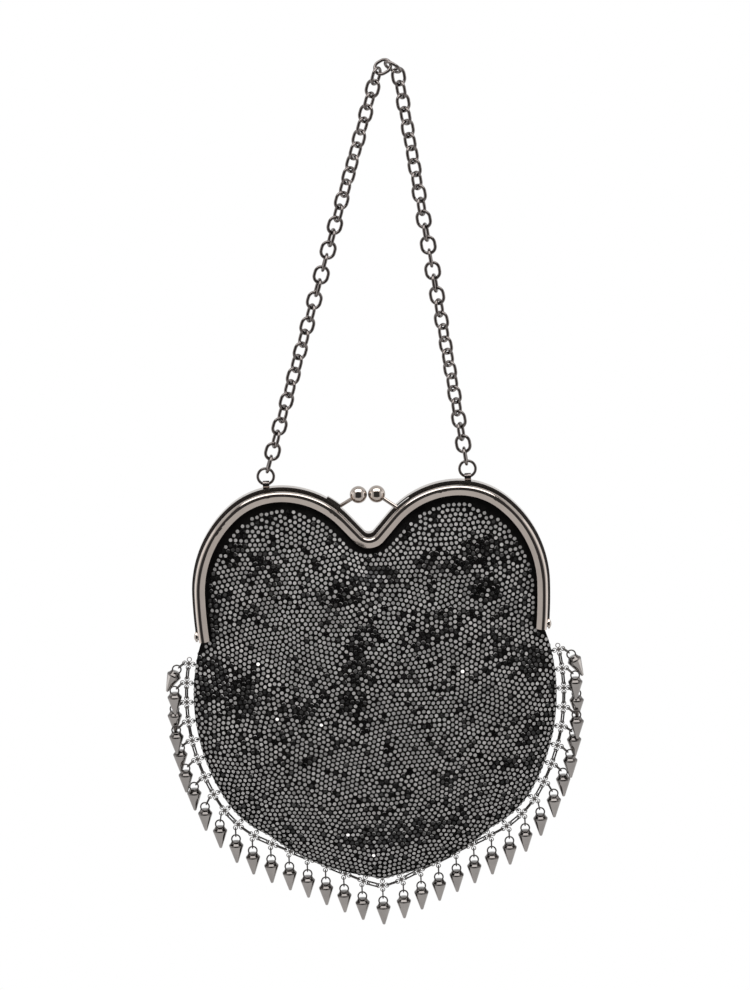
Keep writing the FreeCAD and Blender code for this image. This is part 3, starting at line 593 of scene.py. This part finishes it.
def push_apart(points, surface):
    """Step that moves stones closer than a pitch away from each other, along the face."""
    size = STONE_PITCH * CELL_SHARE
    low = points.min(0) - 2 * size
    cell = np.floor((points - low) / size).astype(int)
    wide = cell.max(0) + 3
    number = cell[:, 0] * wide[1] + cell[:, 1]
    order = np.argsort(number, kind="stable")
    ranked = number[order]
    rank = np.arange(len(ranked)) - np.searchsorted(ranked, ranked)
    table = np.full((wide[0] * wide[1], CELL_SLOTS), -1)
    keep = rank < CELL_SLOTS
    table[ranked[keep], rank[keep]] = order[keep]
    near = np.hstack([table[number + dx * wide[1] + dz] for dx in (-1, 0, 1) for dz in (-1, 0, 1)])
    place = surface.points(points[:, 0], points[:, 1])
    gap = place[:, None, :] - place[near]
    distance = np.linalg.norm(gap, axis=2)
    wanted = (near >= 0) & (distance > TINY) & (distance < STONE_PITCH)
    push = np.where(wanted, (STONE_PITCH - distance) / np.maximum(distance, TINY), 0.0)
    move = PUSH_SHARE * (gap * push[:, :, None]).sum(1)
    normal = surface.normal(points[:, 0], points[:, 1])
    move -= (move * normal).sum(1)[:, None] * normal
    return move[:, [0, 2]]


def stone_tones(places, shade_patches, draw):
    """Tone of each stone's table and of the painted glint on its crown, which only dark stones show. Dark
    stones are painted shade, most of them in the patches; the few white stones are painted glints.
    """
    count = len(places)
    tone = np.clip(draw.normal(*STONE_TONE, count), *STONE_TONE_LIMITS)
    dark = np.full(count, STONE_PAINTED_SHADE_SHARE)
    for x, z, half_long, half_wide, direction in shade_patches:
        turn = math.radians(direction)
        aside, above = places[:, 0] - x, places[:, 1] - z
        along = (aside * math.cos(turn) + above * math.sin(turn)) / half_long
        across = (above * math.cos(turn) - aside * math.sin(turn)) / half_wide
        share = PATCH_MIDDLE - PATCH_FALL * np.hypot(along, across)
        dark = np.maximum(dark, np.clip(share, 0.0, PATCH_MOST))
    glint = np.full(count, STONE_CROWN_PAINTED_SHADE)
    # Stones picked here are painted shade: a dark table, with a painted glint on some crown facets
    painted_shade = draw.uniform(size=count) < dark
    tone[painted_shade] *= STONE_PAINTED_SHADE_TONE * draw.uniform(*STONE_PAINTED_SHADE_SPREAD, painted_shade.sum()) ** STONE_PAINTED_SHADE_POWER
    glint[painted_shade] = STONE_GLINT_TONE * draw.uniform(*STONE_GLINT_SPREAD, painted_shade.sum()) ** STONE_GLINT_POWER
    # A few stones painted white: painted glints
    tone[draw.uniform(size=count) < STONE_WHITE_GLINT_SHARE] = STONE_WHITE_GLINT_TONE
    return tone, glint


def stone_faces(count):
    """Two crown triangles on each side of a stone and then its table, for each stone."""
    local = []
    for side in range(STONE_SIDES):
        after = (side + 1) % STONE_SIDES
        local.append((side, after, STONE_SIDES + side))
        local.append((after, STONE_SIDES + after, STONE_SIDES + side))
    local.append(tuple(range(STONE_SIDES, 2 * STONE_SIDES)))
    faces = []
    for index in range(count):
        faces += shifted(local, index * 2 * STONE_SIDES)
    return faces


def stones(name, facing):
    """Flat-topped faceted stones set over one panel, as one mesh with a tone for each stone, and painted
    shade and painted glints on the crowns.
    """
    surface = SURFACES[facing]
    seed = STONE_SEEDS[facing]
    places = stone_places(surface, seed, EVEN_ROUNDS)
    draw = np.random.default_rng(seed + 1)
    count = len(places)
    base = surface.points(places[:, 0], places[:, 1], -STONE_SINK)
    normal = surface.normal(places[:, 0], places[:, 1])
    normal = normal + draw.normal(0, STONE_TILT, (count, 3))
    normal /= np.linalg.norm(normal, axis=1)[:, None]
    across = np.cross(normal, (0.0, 0.0, 1.0))
    across /= np.linalg.norm(across, axis=1)[:, None]
    up = np.cross(across, normal)
    spin = draw.uniform(0, 2 * math.pi, count)
    steps = np.arange(STONE_SIDES) * 2 * math.pi / STONE_SIDES
    half = math.pi / STONE_SIDES
    corners = []
    for radius, height, turn in ((STONE_RADIUS, 0.0, 0.0), (STONE_TABLE, STONE_HEIGHT, half)):
        angle = spin[:, None] + steps[None, :] + turn
        ring = across[:, None, :] * np.cos(angle)[:, :, None] + up[:, None, :] * np.sin(angle)[:, :, None]
        ring = ring * radius + normal[:, None, :] * height
        corners.append(base[:, None, :] + ring)
    verts = np.concatenate(corners, axis=1).reshape(-1, 3)
    obj = new_object(name, row(verts), stone_faces(count), smooth=False)
    table_tone, glint = stone_tones(places, PAINTED_SHADE_PATCHES[facing], draw)
    lean = draw.normal(0, GLINT_LEAN, count)
    lit = np.sin(spin[:, None] + np.repeat(steps, 2)[None, :] + half + lean[:, None]) > GLINT_EDGE
    # Crown facets are painted shade, except the upward ones of dark stones, which get a painted glint
    crown_tone = np.where(lit, glint[:, None], STONE_CROWN_PAINTED_SHADE)
    crown_tones = np.repeat(crown_tone, 3, axis=1)
    tones = np.hstack((crown_tones, np.repeat(table_tone[:, None], STONE_SIDES, axis=1)))
    colour = np.ones((*tones.shape, 4), np.float32)
    colour[:, :, :3] = tones[:, :, None] * np.array(STONE_COLOUR)
    layer = obj.data.color_attributes.new("stone_tone", "FLOAT_COLOR", "CORNER")
    layer.data.foreach_set("color", colour.ravel())
    return obj


# Materials

def material(name):
    """New material with its node tree and its Principled shader."""
    made = bpy.data.materials.new(name)
    made.use_nodes = True
    tree = made.node_tree
    return made, tree, tree.nodes["Principled BSDF"]


def coordinates(tree):
    return tree.nodes.new("ShaderNodeTexCoord").outputs["Object"]


def noise(tree, where, scale, detail, rough):
    node = tree.nodes.new("ShaderNodeTexNoise")
    node.inputs["Scale"].default_value = scale
    node.inputs["Detail"].default_value = detail
    node.inputs["Roughness"].default_value = rough
    tree.links.new(where, node.inputs["Vector"])
    return node.outputs["Fac"]


def ramp(tree, value, stops):
    """Colour for a value, from stops of a place and a colour."""
    node = tree.nodes.new("ShaderNodeValToRGB")
    tree.links.new(value, node.inputs["Fac"])
    points = node.color_ramp.elements
    while len(points) < len(stops):
        points.new(0.5)
    for point, (place, colour) in zip(points, stops):
        point.position = place
        point.color = (*colour, 1.0)
    return node.outputs["Color"]


def span(tree, value, low, high):
    """Value of 0 to 1 spread over another range."""
    node = tree.nodes.new("ShaderNodeMapRange")
    tree.links.new(value, node.inputs["Value"])
    node.inputs["To Min"].default_value = low
    node.inputs["To Max"].default_value = high
    return node.outputs["Result"]


def bump(tree, height, strength, distance):
    node = tree.nodes.new("ShaderNodeBump")
    tree.links.new(height, node.inputs["Height"])
    node.inputs["Strength"].default_value = strength
    node.inputs["Distance"].default_value = distance
    return node.outputs["Normal"]


def combine(tree, operation, first, second):
    node = tree.nodes.new("ShaderNodeMath")
    node.operation = operation
    tree.links.new(first, node.inputs[0])
    tree.links.new(second, node.inputs[1])
    return node.outputs["Value"]


def mottled(tree, value, dark, light):
    """Colour that wanders between two tones, over the middle part of a noise."""
    return ramp(tree, value, [(0.3, dark), (0.7, light)])


def plated(name, dark, light, rough, waviness=0.05, metallic=1.0):
    """Polished dark plating with faint clouds, fine wipe marks and a soft waviness."""
    made, tree, shader = material(name)
    where = coordinates(tree)
    cloud = noise(tree, where, scale=90.0, detail=4.0, rough=0.6)
    tree.links.new(mottled(tree, cloud, dark, light), shader.inputs["Base Color"])
    shader.inputs["Metallic"].default_value = metallic
    fine = noise(tree, where, scale=900.0, detail=5.0, rough=0.65)
    tree.links.new(span(tree, fine, *rough), shader.inputs["Roughness"])
    wave = noise(tree, where, scale=160.0, detail=2.0, rough=0.5)
    tree.links.new(bump(tree, wave, strength=waviness, distance=0.0004), shader.inputs["Normal"])
    return made


GUNMETAL = plated(
    "gunmetal", dark=(0.345, 0.302, 0.274), light=(0.40, 0.352, 0.318), rough=(0.07, 0.14),
)
CHAIN_METAL = plated(
    "chain_gunmetal", dark=(0.105, 0.092, 0.087), light=(0.15, 0.133, 0.126), rough=(0.08, 0.17),
)
PLATE_METAL = plated(
    "plate_gunmetal", dark=(0.22, 0.205, 0.198), light=(0.28, 0.261, 0.252), rough=(0.18, 0.30),
    metallic=0.7,
)
LINK_METAL = plated(
    "link_gunmetal", dark=(0.055, 0.050, 0.048), light=(0.085, 0.078, 0.074), rough=(0.10, 0.19),
)
SPIKE_METAL = plated(
    "spike_gunmetal", dark=(0.24, 0.224, 0.214), light=(0.30, 0.28, 0.267), rough=(0.10, 0.18),
    waviness=0.04,
)
# Darker copy of the spike metal for cap and loop: painted shade for the dim room they mirror
SPIKE_CAP_PAINTED_SHADE_METAL = plated(
    "spike_cap_painted_shade_gunmetal", dark=(0.085, 0.078, 0.074), light=(0.125, 0.115, 0.109), rough=(0.08, 0.15),
    waviness=0.04,
)


def stone_material():
    """Polished stone in the tone that its mesh gives to each face, painted shade and painted glints
    included.
    """
    made, tree, shader = material("hematite_stones")
    tone = tree.nodes.new("ShaderNodeVertexColor")
    tone.layer_name = "stone_tone"
    tree.links.new(tone.outputs["Color"], shader.inputs["Base Color"])
    shader.inputs["Specular IOR Level"].default_value = 0.3
    fine = noise(tree, coordinates(tree), scale=1500.0, detail=2.0, rough=0.5)
    tree.links.new(span(tree, fine, low=0.18, high=0.34), shader.inputs["Roughness"])
    return made


STONES = stone_material()


def cloth_material(name, dark, light, threads, sheen, rough, specular):
    """Woven cloth: crossed thread ribs as bump, with a slight mottle of its colour."""
    made, tree, shader = material(name)
    where = coordinates(tree)
    ribs = []
    for direction in ("X", "Z"):
        wave = tree.nodes.new("ShaderNodeTexWave")
        wave.wave_type = "BANDS"
        wave.bands_direction = direction
        wave.inputs["Scale"].default_value = threads
        wave.inputs["Distortion"].default_value = 0.6
        wave.inputs["Detail"].default_value = 1.0
        tree.links.new(where, wave.inputs["Vector"])
        ribs.append(wave.outputs["Fac"])
    weave = combine(tree, "ADD", *ribs)
    tree.links.new(bump(tree, weave, strength=0.35, distance=0.0002), shader.inputs["Normal"])
    cloud = noise(tree, where, scale=220.0, detail=4.0, rough=0.6)
    tree.links.new(mottled(tree, cloud, dark, light), shader.inputs["Base Color"])
    shader.inputs["Roughness"].default_value = rough
    shader.inputs["Specular IOR Level"].default_value = specular
    shader.inputs["Sheen Weight"].default_value = sheen
    shader.inputs["Sheen Roughness"].default_value = 0.4
    return made


CLOTH = cloth_material(
    "black_cloth", dark=(0.003, 0.0028, 0.0027), light=(0.006, 0.0055, 0.0052), threads=900.0,
    sheen=0.0, rough=0.95, specular=0.05,
)
SATIN = cloth_material(
    "black_satin", dark=(0.010, 0.010, 0.011), light=(0.016, 0.016, 0.018), threads=1600.0,
    sheen=0.03, rough=0.5, specular=0.15,
)


def paper_material():
    """Brownish paper with fine fibres."""
    made, tree, shader = material("paper_cord")
    fibre = noise(tree, coordinates(tree), scale=700.0, detail=5.0, rough=0.7)
    colour = mottled(tree, fibre, dark=(0.30, 0.26, 0.20), light=(0.46, 0.41, 0.33))
    tree.links.new(colour, shader.inputs["Base Color"])
    shader.inputs["Roughness"].default_value = 0.9
    tree.links.new(bump(tree, fibre, strength=0.4, distance=0.0002), shader.inputs["Normal"])
    return made


PAPER = paper_material()


def dress(obj, *made):
    """Gives an object these materials and no others."""
    obj.data.materials.clear()
    for one in made:
        obj.data.materials.append(one)


def cad_metal():
    """Finishes of the solids that stay in sight."""
    finishes = {
        "front_frame": GUNMETAL, "rear_frame": GUNMETAL, "hinge_rivets": GUNMETAL,
        "front_clasp": GUNMETAL, "rear_clasp": GUNMETAL, "chain_eyelets": CHAIN_METAL,
        "left_ring": CHAIN_METAL, "right_ring": CHAIN_METAL, "upper_chain": CHAIN_METAL,
        "left_lower_chain": CHAIN_METAL, "right_lower_chain": CHAIN_METAL,
        "fringe_links": LINK_METAL, "pendant_links": LINK_METAL,
    }
    for name, finish in finishes.items():
        dress(nodes[name], finish)


# Turned forms and tubes

def tube_mesh(paths, radius, sides, twist=0.0):
    """Round or two-ply tubes along open or closed lines of points: their corners and faces."""
    verts, faces = [], []
    around = np.arange(sides) * 2 * math.pi / sides
    for path, closed in paths:
        path = np.asarray(path, float)
        count = len(path)
        along = np.gradient(path, axis=0)
        if closed:
            along = np.roll(path, -1, axis=0) - np.roll(path, 1, axis=0)
        along /= np.linalg.norm(along, axis=1)[:, None]
        first = np.cross(along, (0.0, 1.0, 0.0) if abs(along[0, 1]) < NEAR_AXIS else (1.0, 0.0, 0.0))
        first /= np.linalg.norm(first, axis=1)[:, None]
        second = np.cross(along, first)
        gone = np.r_[0.0, np.cumsum(np.linalg.norm(np.diff(path, axis=0), axis=1))]
        turn = 2 * math.pi * gone / twist if twist else np.zeros(count)
        ply = 1.0 - (PAPER_PLY_DEPTH * np.sin(around) ** 2 if twist else 0.0 * around)
        angle = around[None, :] + turn[:, None]
        ring = first[:, None, :] * np.cos(angle)[:, :, None] + second[:, None, :] * np.sin(angle)[:, :, None]
        start = sum(len(block) for block in verts)
        verts.append((path[:, None, :] + ring * (radius * ply)[None, :, None]).reshape(-1, 3))
        for step in range(count if closed else count - 1):
            here, there = start + step * sides, start + (step + 1) % count * sides
            for side in range(sides):
                after = (side + 1) % sides
                faces.append((here + side, here + after, there + after, there + side))
        if not closed:
            faces.append(tuple(range(start + sides - 1, start - 1, -1)))
            faces.append(tuple(range(start + (count - 1) * sides, start + count * sides)))
    return np.vstack(verts), faces


def rounded(corners):
    """Line through corners of a radius and a height, each turned on its own rounding."""
    points = []
    for index, (radius, height, bend) in enumerate(corners):
        here = np.array([radius, height])
        if bend == 0:
            points.append(here)
            continue
        back = np.array(corners[index - 1][:2]) - here
        ahead = np.array(corners[index + 1][:2]) - here
        back /= np.linalg.norm(back)
        ahead /= np.linalg.norm(ahead)
        half = math.acos(back @ ahead) / 2
        inward = (back + ahead) / np.linalg.norm(back + ahead)
        middle = here + inward * bend / math.sin(half)
        start = here + back * bend / math.tan(half) - middle
        end = here + ahead * bend / math.tan(half) - middle
        for share in np.linspace(0, 1, ROUNDING_STEPS):
            spoke = start * (1 - share) + end * share
            points.append(middle + bend * spoke / np.linalg.norm(spoke))
    return points


def lathe_mesh(profile, sides):
    """Turned form about +Z, from a profile that starts and ends on the axis."""
    turn = np.arange(sides) * 2 * math.pi / sides
    rings = []
    for radius, height in profile[1:-1]:
        rings.append(np.column_stack((radius * np.cos(turn), radius * np.sin(turn), np.full(sides, height))))
    poles = [[(0.0, 0.0, profile[0][1])], [(0.0, 0.0, profile[-1][1])]]
    faces = []
    first = len(rings) * sides
    for side in range(sides):
        after = (side + 1) % sides
        for low in range(0, first - sides, sides):
            faces.append((low + side, low + sides + side, low + sides + after, low + after))
        faces.append((first, side, after))
        faces.append((first + 1, first - sides + after, first - sides + side))
    return np.vstack(rings + poles), faces


# Pieces

def soft_pieces():
    """Cloth, stones and lining of each panel."""
    for facing, side in ((FRONT, "front"), (REAR, "rear")):
        cloth = panel_sheet(f"{side}_cloth", facing, 0.0, CLOTH_THICKNESS, CLOTH_COLUMNS, CLOTH_RINGS)
        dress(cloth, CLOTH)
        stone = stones(f"{side}_stone_cover", facing)
        dress(stone, STONES)
        lining = panel_sheet(
            f"{side}_satin", facing, LINING_DEPTH, LINING_THICKNESS,
            LINING_COLUMNS, LINING_RINGS, lining_gathers,
        )
        dress(lining, SATIN)
        for piece in (cloth, stone, lining):
            if facing == FRONT:
                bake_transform(piece)
            else:
                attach(piece, "purse")
        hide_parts(f"{side}_stones")
        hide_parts(f"{side}_lining")
        if facing == FRONT:
            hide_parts("front_outer_fabric", "front_stiffener_upper", "front_stiffener_lower")
        else:
            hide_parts("rear_outer_fabric", "rear_stiffener")


def paper_cords():
    """Twisted paper in each channel, in place of the plain cords of the solids."""
    right = np.array([p for p in frame_outline(PAPER_CORD_INSET) if p[1] > LEG_CLEARANCE])
    line = np.vstack((right, right[-2::-1] * (-1, 1)))
    for side, body in (("front", "front_half"), ("rear", "purse")):
        low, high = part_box(f"{side}_paper_cord")
        level = (low.y + high.y) / 2 * 1000 + HANG[1]
        path = np.column_stack((line[:, 0], np.full(len(line), level), line[:, 1]))
        verts, faces = tube_mesh([(path, False)], PAPER_CORD_RADIUS, PAPER_CORD_SIDES, PAPER_CORD_TWIST)
        cord = new_object(f"{side}_paper_twist", row(verts), faces)
        dress(cord, PAPER)
        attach(cord, body)
        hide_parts(f"{side}_paper_cord")


def spikes():
    """Each spike turned with polished edges and a cap in darker metal as painted shade, hung from its loop
    where its node is.
    """
    body, faces = lathe_mesh(rounded(SPIKE_PROFILE), SPIKE_SIDES)
    circle = circle_points(LOOP_RADIUS, LOOP_STEPS)
    wire, wire_faces = tube_mesh([(circle, True)], LOOP_WIRE / 2, LOOP_WIRE_SIDES)
    shape = np.vstack((body, wire)) / 1000
    faces = faces + shifted(wire_faces, len(body))
    # Faces above the cap's bottom, cap and loop, take the darker metal: painted shade
    dark = [int(min(shape[v, 2] for v in face) * 1000 > SPIKE_CAP_BOTTOM) for face in faces]
    for name in [name for name in nodes if name.startswith("spike_")]:
        corners = np.array([v.co for v in nodes[name].data.vertices])
        tip = corners[np.argmin(corners[:, 2])]
        top = corners[np.argmax(np.linalg.norm(corners - tip, axis=1))]
        up = (top - tip) / np.linalg.norm(top - tip)
        lean = math.atan2(up[0], up[2])
        across = (math.cos(lean), 0, -math.sin(lean))
        upward = (math.sin(lean), 0, math.cos(lean))
        axes = np.array([across, (0, 1, 0), upward])
        loop = top - up * (LOOP_RADIUS + LOOP_WIRE / 2) / 1000
        piece = new_object(f"turned_{name}", loop + shape @ axes, faces)
        dress(piece, SPIKE_METAL, SPIKE_CAP_PAINTED_SHADE_METAL)
        piece.data.polygons.foreach_set("material_index", dark)
        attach(piece, name)
        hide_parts(name)


def connector_middles():
    """Middle of each connector plate, read from the loose parts of its node."""
    mesh = nodes["fringe_connectors"].data
    found = {}
    parent = [found.setdefault(tuple(round(c, 6) for c in v.co), v.index) for v in mesh.vertices]

    def root(index):
        while parent[index] != index:
            parent[index] = parent[parent[index]]
            index = parent[index]
        return index

    for edge in mesh.edges:
        parent[root(edge.vertices[0])] = root(edge.vertices[1])
    parts = {}
    for vertex in mesh.vertices:
        parts.setdefault(root(vertex.index), []).append(vertex.co)
    return [np.mean([[min(c) + max(c)] for c in zip(*points)], axis=1) / 2 for points in parts.values()]


def fringe_stations():
    """Middle of each connector plate, the bag's edge nearest to it and the direction between them."""
    line = np.array(bag_outline(0.0))
    gone = np.r_[0.0, np.cumsum(np.linalg.norm(np.diff(line, axis=0), axis=1))]
    at = np.arange(0.0, gone[-1], EDGE_STEP)
    edge = np.column_stack((np.interp(at, gone, line[:, 0]), np.interp(at, gone, line[:, 1])))
    edge = np.vstack((edge, edge * (-1, 1)))
    stations = []
    for middle in connector_middles():
        centre = middle * 1000 + HANG
        flat = centre[[0, 2]]
        near = edge[np.argmin(np.linalg.norm(edge - flat, axis=1))]
        stations.append((centre, near, (flat - near) / np.linalg.norm(flat - near)))
    return stations


def fringe_plates():
    """Connector plates: four rings of round wire about a small web, one of them towards the bag."""
    web, faces = lathe_mesh(rounded(PLATE_WEB), PLATE_SIDES)
    web = np.column_stack((web[:, 0], -web[:, 2], web[:, 1]))
    circle = circle_points(PLATE_RING_RADIUS, PLATE_SIDES)
    spots = PLATE_REACH * np.array([(1, 0, 0), (0, 0, 1), (-1, 0, 0), (0, 0, -1)])
    wire, wire_faces = tube_mesh([(circle + spot, True) for spot in spots], PLATE_WIRE / 2, PLATE_WIRE_SIDES)
    shape = np.vstack((web, wire))
    faces = faces + shifted(wire_faces, len(web))
    verts, all_faces = [], []
    for index, (centre, _, out) in enumerate(fringe_stations()):
        axes = np.array([(out[0], 0.0, out[1]), (0.0, 1.0, 0.0), (-out[1], 0.0, out[0])])
        verts.append(centre + shape @ axes)
        all_faces += shifted(faces, index * len(shape))
    plates = new_object("fringe_plates", row(np.vstack(verts)), all_faces)
    dress(plates, PLATE_METAL)
    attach(plates, "purse")
    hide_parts("fringe_connectors")


def fringe_threads():
    """Black thread that sews the nearest ring of each connector plate to the bag's edge."""
    steps = np.linspace(0, 2 * math.pi, THREAD_STEPS, endpoint=False)
    reach = THREAD_MIDDLE + THREAD_REACH * np.cos(steps)
    loops = []
    for centre, near, out in fringe_stations():
        for shift in THREAD_LOOPS:
            x = near[0] + out[0] * reach - out[1] * shift
            z = near[1] + out[1] * reach + out[0] * shift
            y = centre[1] + THREAD_HALF_WIDTH * np.sin(steps)
            loops.append((np.column_stack((x, y, z)), True))
    verts, faces = tube_mesh(loops, THREAD_RADIUS, THREAD_SIDES)
    threads = new_object("fringe_threads", row(verts), faces)
    dress(threads, CLOTH)
    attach(threads, "purse")


cad_metal()
soft_pieces()
paper_cords()
spikes()
fringe_plates()
fringe_threads()

# Stage, in metres

FLOOR_HEIGHT = -0.90
FLOOR_FRONT = -1.0
FLOOR_BACK = 11.0
FLOOR_SIDE = 12.0
FLOOR_TONE = 0.85
SHADOW_REACH = 0.9
SHADOW_CORE = 0.7
SHADOW_GLOW = (0.7, 0.7, 0.7)

# Tones of the room, and where they rise behind and beside the purse
ROOM_DIM = (0.07, 0.07, 0.07)
ROOM_WHITE = (1.0, 1.0, 1.0)
BEHIND_RISE = (0.50, 0.62)
BESIDE_RISE = (0.56, 0.72)

# Lamps: place from the purse's middle, size, power and whether the metal mirrors them
PURSE_MIDDLE = Vector(row([0, 0, -10]))
LAMPS = {
    "top": ((0.0, -0.35, 1.05), (1.6, 0.8), 19, True),
    "left": ((-1.25, 0.1, 0.05), (1.0, 1.2), 4, True),
    "right": ((1.25, 0.1, 0.05), (1.0, 1.2), 4, True),
    "fill": ((0.0, -2.4, 0.5), (1.4, 1.0), 18, False),
}

# Camera: the target is a point of the drawing in millimetres
CAMERA_TARGET = (3.7, 0.0, 68.2)
CAMERA_DISTANCE = 2.6
CAMERA_ELEVATION = 11.0
CAMERA_ROLL = -2.2
CAMERA_CLIP = (0.05, 60.0)
VIEW_HEIGHT = 0.4886


def ray_share(tree):
    """1 for camera, mirror and glass rays, 0 for the light that falls on things."""
    path = tree.nodes.new("ShaderNodeLightPath")
    most = path.outputs["Is Camera Ray"]
    for name in ("Is Glossy Ray", "Is Transmission Ray"):
        most = combine(tree, "MAXIMUM", most, path.outputs[name])
    return most


def make_floor():
    """White floor that keeps a soft shadow near the purse and ends in front of it."""
    verts = [
        (-FLOOR_SIDE, FLOOR_FRONT, 0), (FLOOR_SIDE, FLOOR_FRONT, 0),
        (FLOOR_SIDE, FLOOR_BACK, 0), (-FLOOR_SIDE, FLOOR_BACK, 0),
    ]
    floor = new_object("floor", verts, [(0, 1, 2, 3)], smooth=False)
    floor.location.z = FLOOR_HEIGHT
    made = bpy.data.materials.new("floor_white")
    made.use_nodes = True
    tree = made.node_tree
    tree.nodes.clear()
    diffuse = tree.nodes.new("ShaderNodeBsdfDiffuse")
    diffuse.inputs["Color"].default_value = (FLOOR_TONE, FLOOR_TONE, FLOOR_TONE, 1)
    glow = tree.nodes.new("ShaderNodeEmission")
    glow.inputs["Strength"].default_value = 1.0
    scaled = tree.nodes.new("ShaderNodeMapping")
    scaled.inputs["Scale"].default_value = (1 / SHADOW_REACH, 1 / SHADOW_REACH, 1 / SHADOW_REACH)
    tree.links.new(coordinates(tree), scaled.inputs["Vector"])
    nearness = tree.nodes.new("ShaderNodeTexGradient")
    nearness.gradient_type = "SPHERICAL"
    tree.links.new(scaled.outputs["Vector"], nearness.inputs["Vector"])
    white = ramp(tree, nearness.outputs["Fac"], [(0.0, ROOM_WHITE), (SHADOW_CORE, SHADOW_GLOW)])
    mix = tree.nodes.new("ShaderNodeMixShader")
    tree.links.new(combine(tree, "MINIMUM", ray_share(tree), white), mix.inputs["Fac"])
    tree.links.new(diffuse.outputs["BSDF"], mix.inputs[1])
    tree.links.new(glow.outputs["Emission"], mix.inputs[2])
    out = tree.nodes.new("ShaderNodeOutputMaterial")
    tree.links.new(mix.outputs["Shader"], out.inputs["Surface"])
    floor.data.materials.append(made)


def room_tone(tree, value, rise):
    """Dim up to the first value of a rise, white from the second one on."""
    return ramp(tree, value, [(0.0, ROOM_DIM), (rise[0], ROOM_DIM), (rise[1], ROOM_WHITE)])


def make_world():
    """White backdrop. What things mirror and what lights them is dim in front, white behind and beside."""
    world = bpy.data.worlds.new("studio")
    bpy.context.scene.world = world
    world.use_nodes = True
    tree = world.node_tree
    tree.nodes.clear()
    path = tree.nodes.new("ShaderNodeLightPath")
    white = tree.nodes.new("ShaderNodeBackground")
    white.inputs["Color"].default_value = (1, 1, 1, 1)
    room = tree.nodes.new("ShaderNodeBackground")
    axes = tree.nodes.new("ShaderNodeSeparateXYZ")
    tree.links.new(tree.nodes.new("ShaderNodeTexCoord").outputs["Generated"], axes.inputs["Vector"])
    depth = tree.nodes.new("ShaderNodeMapRange")
    depth.inputs["From Min"].default_value = -1.0
    tree.links.new(axes.outputs["Y"], depth.inputs["Value"])
    width = tree.nodes.new("ShaderNodeMath")
    width.operation = "ABSOLUTE"
    tree.links.new(axes.outputs["X"], width.inputs[0])
    behind = room_tone(tree, depth.outputs["Result"], BEHIND_RISE)
    beside = room_tone(tree, width.outputs["Value"], BESIDE_RISE)
    tree.links.new(combine(tree, "MAXIMUM", behind, beside), room.inputs["Color"])
    mix = tree.nodes.new("ShaderNodeMixShader")
    out = tree.nodes.new("ShaderNodeOutputWorld")
    tree.links.new(path.outputs["Is Camera Ray"], mix.inputs["Fac"])
    tree.links.new(room.outputs["Background"], mix.inputs[1])
    tree.links.new(white.outputs["Background"], mix.inputs[2])
    tree.links.new(mix.outputs["Shader"], out.inputs["Surface"])


def make_lamps():
    """Area lamps that face the purse's middle and that the camera doesn't see."""
    for name, (offset, size, power, mirrored) in LAMPS.items():
        lamp = bpy.data.lights.new(name, "AREA")
        lamp.shape = "RECTANGLE"
        lamp.size, lamp.size_y = size
        lamp.energy = power
        obj = bpy.data.objects.new(name, lamp)
        place = PURSE_MIDDLE + Vector(offset)
        obj.location = place
        obj.rotation_euler = (PURSE_MIDDLE - place).to_track_quat("-Z", "Y").to_euler()
        obj.visible_camera = False
        obj.visible_glossy = mirrored
        bpy.context.scene.collection.objects.link(obj)


def make_camera():
    """Camera in front of the purse and a little above it, turned slightly as in the photograph."""
    data = bpy.data.cameras.new("camera")
    data.lens = data.sensor_width * CAMERA_DISTANCE / VIEW_HEIGHT
    data.clip_start, data.clip_end = CAMERA_CLIP
    camera = bpy.data.objects.new("camera", data)
    bpy.context.scene.collection.objects.link(camera)
    target = Vector(row(CAMERA_TARGET))
    turn = math.radians(CAMERA_ELEVATION)
    back = Vector((0, -math.cos(turn), math.sin(turn)))
    camera.rotation_mode = "QUATERNION"
    roll = Matrix.Rotation(math.radians(CAMERA_ROLL), 3, "Z").to_quaternion()
    camera.rotation_quaternion = (-back).to_track_quat("-Z", "Y") @ roll
    camera.location = target + back * CAMERA_DISTANCE
    bpy.context.scene.camera = camera


make_floor()
make_world()
make_lamps()
make_camera()
bpy.context.scene.view_settings.view_transform = "Standard"
